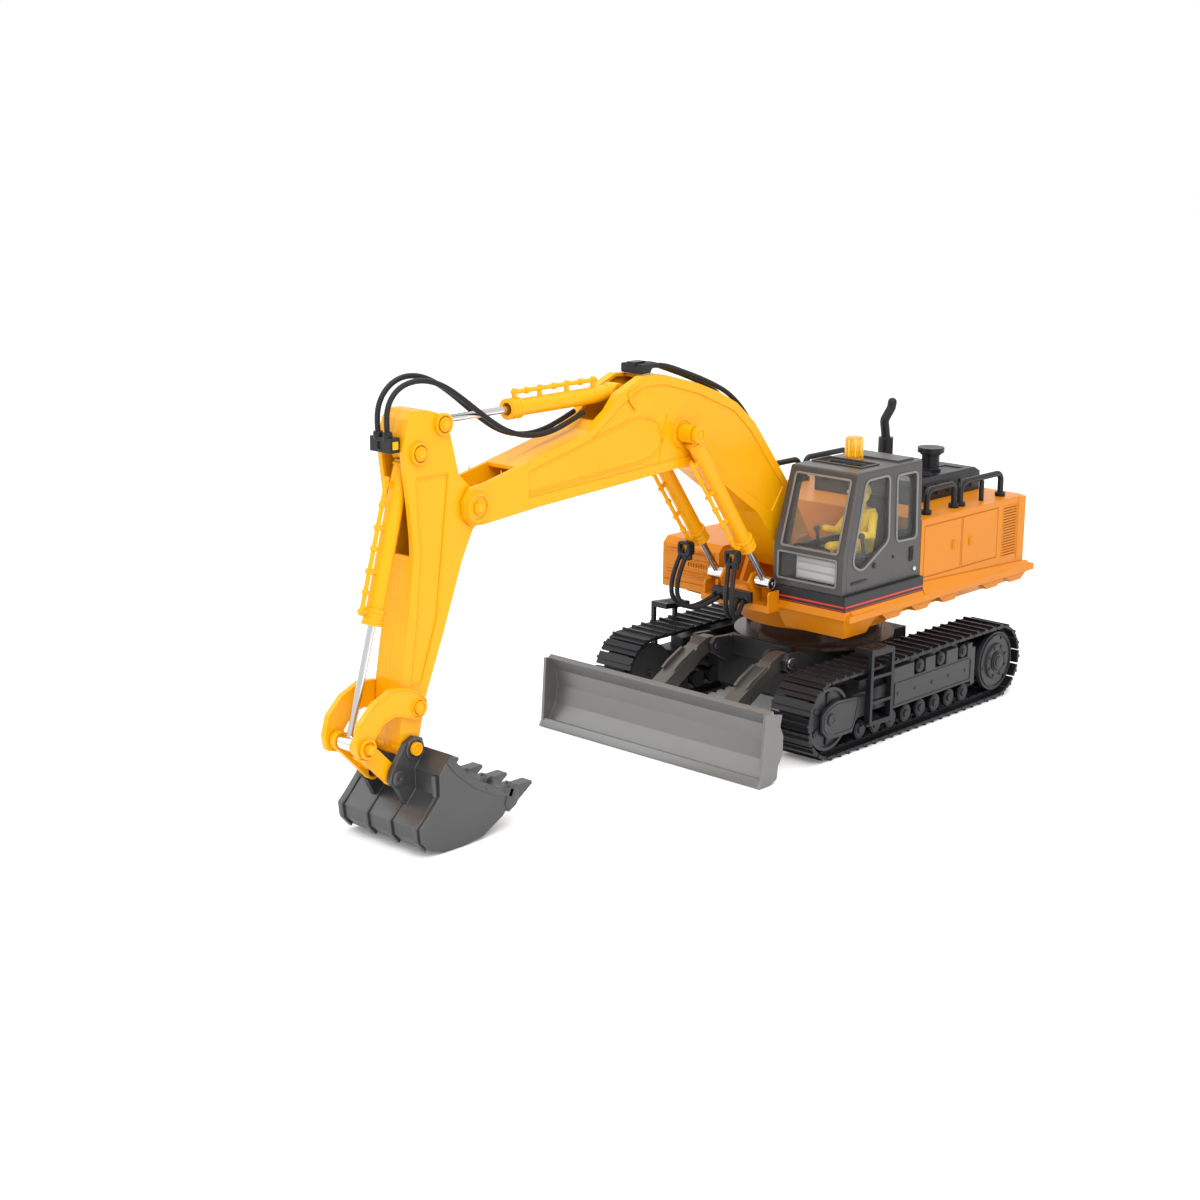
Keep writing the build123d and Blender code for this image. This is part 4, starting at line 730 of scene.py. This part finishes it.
# ---- boom, arm and bucket --------------------------------------------------------------
ARM_PIVOT, LIFT_TOP, CROWD_REAR = (-306.0, 170.0), (-146.0, 190.0), (-190.0, 216.0)
CROWD_FRONT, CURL_TOP = (-326.5, 214.8), (-343.0, 202.0)
LEVER_PIN, LEVER_TIP, BUCKET_PIN, LINK_PIN = (-348.0, 73.5), (-383.0, 59.5), (-351.0, 52.5), (-362.0, 39.0)


def span(side, low, high):
    return (side * low, side * high)


class EXCAVATOR_OT_boom(bpy.types.Operator):
    """Makes the boom's and arm's raised beads, bosses, caps and hose clips"""

    bl_idname = "excavator.boom"
    bl_label = "Boom and arm fittings"

    def execute(self, context):
        panel = [(-287, 170.6), (-176, 177.2), (-163.5, 182.5), (-161.5, 192), (-168, 200.6), (-184, 203.2),
                 (-287, 179.6)]
        hook = [(-181.5, 220.2), (-189.6, 217.4), (-191.2, 212.6), (-186.0, 206.8), (-184.9, 207.8),
                (-189.6, 212.9),
                (-188.5, 216.4), (-181.1, 219.0)]
        beads = []
        for side in (-1, 1):
            beads.append(side_slab(panel, span(side, 11.4, 12.35), 5.0, 0.9, 0.25))
            beads.append(side_slab(hook, span(side, 12.1, 13.3), 0.0, 0.0, 0.3))
            beads.append(ring_piece(ARM_PIVOT, 7.6, span(side, 13.5, 14.6), 1.5, 0.4))
            beads.append(ring_piece(LIFT_TOP, 8.0, span(side, 12.7, 13.2), 1.2, 0.2))
        settle(joined(beads), "boom_beads", "boom", "yellow_plastic")
        caps = []
        for side in (-1, 1):
            caps.append(ring_piece(LIFT_TOP, 4.5, span(side, 25.2, 26.0), 1.3, 0.3))
            caps.append(rod_piece((side * 25.2, *LIFT_TOP), (side * 25.9, *LIFT_TOP), 1.7, 0.3, 24))
            caps.append(rod_piece((side * 15.0, *ARM_PIVOT), (side * 15.9, *ARM_PIVOT), 2.2, 0.4, 24))
        settle(joined(caps), "boom_pin_caps", "boom", "yellow_plastic")

        arm_beads = []
        for side in (-1, 1):
            for pin in (CROWD_FRONT, CURL_TOP):
                arm_beads.append(ring_piece(pin, 5.7, span(side, 10.3, 11.6), 1.3, 0.35))
                arm_beads.append(side_slab(hexagon(pin, 2.5), span(side, 12.0, 13.0), 0.0, 0.0, 0.3))
            arm_beads.append(ring_piece(LEVER_PIN, 3.5, span(side, 14.9, 15.7), 1.0, 0.3))
            arm_beads.append(ring_piece(BUCKET_PIN, 3.5, span(side, 14.9, 15.7), 1.0, 0.3))
            edge = [(-345.0, 190), (-322.0, 190), (-331.0, 116), (-342, 84), (-350, 84), (-344.5, 122),
                    (-342, 150)]
            arm_beads.append(side_slab(edge, span(side, 8.9, 9.75), 1.5, 0.8, 0.2))
        settle(joined(arm_beads), "arm_beads", "arm", "yellow_plastic")

        clip_yellow = [box_piece((7.3, 8.3), (-358.2, -354.6), (205.2, 209.2), 0.4),
                       box_piece((-8.3, -7.3), (-358.2, -354.6), (205.2, 209.2), 0.4)]
        settle(joined(clip_yellow), "arm_clip_inserts", "arm", "yellow_plastic")
        clip_black = [rod_piece((x, -357.6, 209.5), (x, -357.8, 213.6), 2.5, 0.5, 24, 3) for x in (-3.2, 3.6)]
        settle(joined(clip_black), "arm_hose_collars", "arm", "black_plastic")
        crown = [rod_piece((x, -169.5, 228.1), (x, -165.4, 228.3), 2.6, 0.5, 24, 3) for x in (-4.6, 4.6)]
        settle(joined(crown), "boom_hose_collars", "boom", "black_plastic")
        for side, name in ((1, "left"), (-1, "right")):
            x, y, z = side * 17.8, -104.92, 112.24
            shell = [slab([(x - 4.6, y - 2.6, z - 4.2), (x + 4.6, y - 2.6, z - 4.2),
                           (x + 4.6, y - 2.6, z + 4.6),
                           (x - 4.6, y - 2.6, z + 4.6)], (0, 5.4, 0), 2.4, 1.9, 0.4)]
            shell += [rod_piece((x + step, y, z - 2.4), (x + step - 0.2, y + 0.1, z - 6.4), 2.3, 0.4, 24, 3)
                      for step in (-2.2, 2.2)]
            settle(joined(shell), f"lift_hose_clip_{name}", f"lift_barrel_{name[0]}", "black_plastic")
        return {"FINISHED"}


class EXCAVATOR_OT_cylinders(bpy.types.Operator):
    """Makes the cylinders' gland rings and rail collars"""

    bl_idname = "excavator.cylinders"
    bl_label = "Cylinder fittings"

    def execute(self, context):
        cylinders = (("boom_glands_left", "lift_barrel_l", LIFT_TOP, (-74.0, 92.5), 92.0, 17.8, -1),
                     ("boom_glands_right", "lift_barrel_r", LIFT_TOP, (-74.0, 92.5), 92.0, -17.8, -1),
                     ("arm_glands", "crowd_barrel", CROWD_REAR, CROWD_FRONT, 82.0, 0.0, -1),
                     ("bucket_glands", "curl_barrel", CURL_TOP, LEVER_TIP, 88.0, 0.0, -1))
        for name, body, pin, far, length, x, pipe_side in cylinders:
            run = math.dist(pin, far)
            dy, dz = (far[0] - pin[0]) / run, (far[1] - pin[1]) / run

            def place(distance, out=0.0):
                return (x, pin[0] + dy * distance - dz * out * pipe_side,
                        pin[1] + dz * distance + dy * out * pipe_side)
            rings = []
            for low, high, radius in ((length - 8.6, length - 6.6, 5.7), (length - 4.4, length - 3.4, 5.6),
                                      (6.0, 7.4, 5.2)):
                rings.append(rod_piece(place(low), place(high), radius, 0.35, 40, 3))
            for share in (0.32, 0.57, 0.82):
                rings.append(rod_piece(place(length * share - 1.2, 8.4), place(length * share + 1.2, 8.4),
                                       1.9, 0.5, 20, 3))
            settle(joined(rings), name, body, "yellow_plastic")
        return {"FINISHED"}


class EXCAVATOR_OT_bucket(bpy.types.Operator):
    """Makes the bucket's wear bands, side cutters, tooth shanks and the linkage's rims"""

    bl_idname = "excavator.bucket"
    bl_label = "Bucket and linkage fittings"

    def execute(self, context):
        pieces = []
        back = [(-353.4, 41.5), (-352.0, 30.4), (-360.0, 21.6), (-366.0, 16.8), (-365.0, 9.0), (-359.6, 3.0),
                (-358.6, 4.4), (-363.6, 9.6), (-364.2, 16.2), (-358.6, 22.4), (-350.2, 31.0), (-351.0, 41.5)]
        for x in (-29.6, -10.4, 7.4, 26.6):
            pieces.append(side_slab(back, (x, x + 3.0), 0.0, 0.0, 0.3))
        cutter = [(-343.4, 51.2), (-337.2, 43.9), (-325.2, 34.0), (-311.2, 26.5), (-298.4, 22.7),
                  (-300.2, 18.4),
                  (-312.6, 22.2), (-327.0, 29.6), (-339.4, 39.8), (-346.4, 47.6)]
        for side in (-1, 1):
            pieces.append(side_slab(cutter, span(side, 30.9, 32.1), 0.0, 0.0, 0.3))
            for y, z in ((-334.0, 38.6), (-318.0, 27.8), (-304.0, 22.0)):
                pieces.append(rod_piece((side * 31.9, y, z), (side * 32.7, y, z), 1.3, 0.35, 20))
        for x in (-27.8, -9.3, 9.3, 27.8):
            shank = [(-305.4, 15.6), (-302.6, 10.6), (-297.2, 13.2), (-294.6, 17.0), (-296.0, 24.8),
                     (-300.6, 24.6)]
            pieces.append(side_slab(shank, (x - 4.3, x + 4.3), 0.0, 0.0, 0.4))
            pieces.append(rod_piece((x, -299.2, 24.2), (x, -298.8, 25.6), 1.4, 0.35, 20))
        for side in (-1, 1):
            pieces.append(ring_piece(BUCKET_PIN, 6.0, span(side, 12.8, 13.9), 1.8, 0.3))
            pieces.append(ring_piece(LINK_PIN, 4.2, span(side, 12.8, 14.0), 4.0, 0.4))
        settle(joined(pieces), "bucket_wear_parts", "bucket", "bucket_metal")

        rims = []
        crescent = [(-342.4, 71), (-342.4, 77), (-347, 81), (-355, 85), (-366, 86), (-378, 81),
                    (-387, 72.5), (-390, 62),
                    (-388.5, 54.5), (-382, 52.5), (-377.5, 57), (-377.5, 63), (-372, 69.5), (-364, 72),
                    (-357, 70),
                    (-350, 67.6), (-345, 68)]
        for side in (-1, 1):
            rims.append(side_slab(crescent, span(side, 12.8, 13.6), 1.0, 0.9, 0.25))
            rims.append(ring_piece(LEVER_TIP, 5.2, span(side, 13.8, 15.2), 1.4, 0.35))
            rims.append(side_slab(hexagon(LEVER_TIP, 2.4), span(side, 16.6, 17.6), 0.0, 0.0, 0.3))
            rims.append(ring_piece(LEVER_PIN, 4.6, span(side, 12.8, 14.0), 1.0, 0.3))
        settle(joined(rims), "lever_rims", "levers", "yellow_plastic")
        return {"FINISHED"}


# ---- undercarriage ---------------------------------------------------------------------
class EXCAVATOR_OT_undercarriage(bpy.types.Operator):
    """Makes the wheel bolts, hub caps, track frame beads and blade edge"""

    bl_idname = "excavator.undercarriage"
    bl_label = "Undercarriage fittings"

    def execute(self, context):
        sprocket, idler = (86.5, 24.5), (-89.5, 24.5)
        for side, letter, name in ((1, "l", "left"), (-1, "r", "right")):
            bolts = [ring_piece(sprocket, 17.6, span(side, 79.2, 80.2), 1.4, 0.3),
                     ring_piece(sprocket, 6.6, span(side, 80.4, 81.5), 1.4, 0.3)]
            for i in range(8):
                angle = math.radians(45 * i + 22.5)
                y, z = sprocket[0] + 9.6 * math.sin(angle), sprocket[1] + 9.6 * math.cos(angle)
                bolts.append(side_slab(hexagon((y, z), 1.25), span(side, 80.4, 81.5), 0.0, 0.0, 0.25))
            settle(joined(bolts), f"sprocket_bolts_{name}", f"sprocket_{letter}", "black_plastic")
            hub = [ring_piece(sprocket, 11.3, span(side, 80.5, 81.0), 3.4, 0.2),
                   rod_piece((side * 81.9, *sprocket), (side * 82.9, *sprocket), 3.6, 0.4, 32)]
            settle(joined(hub), f"sprocket_disc_{name}", f"sprocket_{letter}", "black_plastic", "seat_black")
            spokes = []
            for i in range(6):
                angle = math.radians(60 * i)
                spoke = [(idler[0] + r * math.sin(angle + a), idler[1] + r * math.cos(angle + a))
                         for r, a in ((7.0, -0.20), (15.8, -0.10), (15.8, 0.10), (7.0, 0.20))]
                spokes.append(side_slab(spoke, span(side, 77.6, 79.0), 0.0, 0.0, 0.3))
            settle(joined(spokes), f"idler_spokes_{name}", f"idler_{letter}", "black_plastic")
        beads = []
        for side in (-1, 1):
            plate = [(-28.2, 19.2), (54.2, 19.2), (54.2, 33.6), (-28.2, 33.6)]
            beads.append(side_slab(plate, span(side, 81.8, 82.5), 1.2, 0.8, 0.2))
            nose = [(-63, 31.6), (-66.4, 18.4), (-69, 14.0), (-85, 14.0), (-92.6, 15.6), (-96.6, 19.6),
                    (-96.6, 27.4),
                    (-92.4, 30.6), (-85, 32.8)]
            beads.append(side_slab(nose, span(side, 81.2, 81.8), 1.0, 0.9, 0.2))
            beads.append(ring_piece((-89.5, 24.5), 3.6, span(side, 81.2, 82.3), 1.6, 0.3))
            for y in (-24, -6, 12, 30, 48):
                beads.append(rod_piece((side * 81.8, y, 26.4), (side * 82.5, y, 26.4), 1.1, 0.3, 18))
        settle(joined(beads), "track_frame_beads", "undercarriage", "frame_grey")
        edge = [slab([(-84.6, -159.4, 0.6), (84.6, -159.4, 0.6), (84.6, -156.6, 5.4), (-84.6, -156.6, 5.4)],
                     (0, -0.6, -0.2), 0.0, 0.0, 0.2)]
        settle(joined(edge), "blade_cutting_edge", "dozer", "blade_metal")
        hooks = []
        for side in (-1, 1):
            for low, high in ((22.9, 24.5), (31.5, 33.1)):
                hooks.append(side_slab([(-108, 37.0), (-103, 40.6), (-90, 46.6), (-87, 45.0), (-104, 36.4)],
                                       span(side, low, high), 0.6, 0.0, 0.3))
        settle(joined(hooks), "push_arm_ribs", "dozer", "arm_metal")
        return {"FINISHED"}


# ---- studio ------------------------------------------------------------------------------
class EXCAVATOR_OT_studio(bpy.types.Operator):
    """Sets the pale floor, the soft lights and the camera"""

    bl_idname = "excavator.studio"
    bl_label = "Studio"

    def execute(self, context):
        deselect()
        bpy.ops.mesh.primitive_plane_add(size=8.0, location=(0, 0, 0))
        floor = bpy.context.object
        floor.name = "studio_floor"
        paper = bpy.data.materials.new("Studio paper")
        paper.use_nodes = True
        shader = paper.node_tree.nodes["Principled BSDF"]
        shader.inputs["Base Color"].default_value = (0.90, 0.90, 0.90, 1)
        shader.inputs["Roughness"].default_value = 0.75
        shader.inputs["Emission Color"].default_value = (1, 1, 1, 1)
        shader.inputs["Emission Strength"].default_value = 0.12
        floor.data.materials.append(paper)
        world = bpy.data.worlds.new("Studio world")
        world.use_nodes = True
        world.node_tree.nodes["Background"].inputs[0].default_value = (1.0, 1.0, 1.0, 1)
        world.node_tree.nodes["Background"].inputs[1].default_value = 1.0
        context.scene.world = world
        context.scene.view_settings.view_transform = "Standard"
        for name, place, size, power in (("key", (0.9, -0.9, 1.3), 0.9, 16.0),
                                         ("fill", (-1.3, -0.9, 0.9), 1.2, 7.0),
                                         ("top", (0.0, 0.2, 1.6), 1.4, 12.0)):
            bpy.ops.object.light_add(type="AREA", location=place)
            lamp = bpy.context.object
            lamp.name = f"studio_{name}"
            lamp.data.size = size
            lamp.data.energy = power
            lamp.rotation_euler = (Vector((0, 0, 0.08)) - Vector(place)).to_track_quat("-Z", "Y").to_euler()
        stand = context.scene.excavator_camera
        bpy.ops.object.camera_add(location=stand.place)
        camera = bpy.context.object
        camera.name = "studio_camera"
        camera.data.lens = stand.lens
        camera.data.sensor_width = 36.0
        az, el = stand.azimuth, stand.elevation
        right = Vector((math.cos(az), math.sin(az), 0))
        back = Vector((math.sin(az) * math.cos(el), -math.cos(az) * math.cos(el), math.sin(el)))
        up = back.cross(right)
        cosine, sine = math.cos(stand.roll), math.sin(stand.roll)
        turned_right = right * cosine + up * sine
        turned_up = up * cosine - right * sine
        camera.rotation_euler = Matrix((turned_right, turned_up, back)).transposed().to_euler()
        context.scene.camera = camera
        return {"FINISHED"}


class EXCAVATOR_PT_panel(bpy.types.Panel):
    """Lists the excavator's makers"""

    bl_label = "Toy Excavator"
    bl_idname = "EXCAVATOR_PT_panel"
    bl_space_type = "VIEW_3D"
    bl_region_type = "UI"
    bl_category = "Excavator"

    def draw(self, context):
        for group in (context.scene.excavator_finishes, context.scene.excavator_hoses,
                      context.scene.excavator_camera):
            for name in group.bl_rna.properties.keys():
                if name not in ("rna_type", "name"):
                    self.layout.prop(group, name)
        for maker in MAKERS:
            self.layout.operator(maker.bl_idname)


MAKERS = (EXCAVATOR_OT_finishes, EXCAVATOR_OT_cab, EXCAVATOR_OT_house, EXCAVATOR_OT_boom,
          EXCAVATOR_OT_cylinders,
          EXCAVATOR_OT_bucket, EXCAVATOR_OT_undercarriage, EXCAVATOR_OT_hoses, EXCAVATOR_OT_studio)
GROUPS = (EXCAVATOR_PG_finishes, EXCAVATOR_PG_hoses, EXCAVATOR_PG_camera)


def register():
    for made in GROUPS + MAKERS + (EXCAVATOR_PT_panel,):
        bpy.utils.register_class(made)
    bpy.types.Scene.excavator_finishes = bpy.props.PointerProperty(type=EXCAVATOR_PG_finishes)
    bpy.types.Scene.excavator_hoses = bpy.props.PointerProperty(type=EXCAVATOR_PG_hoses)
    bpy.types.Scene.excavator_camera = bpy.props.PointerProperty(type=EXCAVATOR_PG_camera)


def unregister():
    for name in ("excavator_finishes", "excavator_hoses", "excavator_camera"):
        delattr(bpy.types.Scene, name)
    for made in reversed(GROUPS + MAKERS + (EXCAVATOR_PT_panel,)):
        bpy.utils.unregister_class(made)


def main():
    register()
    bpy.ops.excavator.finishes()
    bpy.ops.excavator.cab()
    bpy.ops.excavator.house()
    bpy.ops.excavator.boom()
    bpy.ops.excavator.cylinders()
    bpy.ops.excavator.bucket()
    bpy.ops.excavator.undercarriage()
    bpy.ops.excavator.hoses()
    bpy.ops.excavator.studio()


if __name__ == "__main__":
    main()
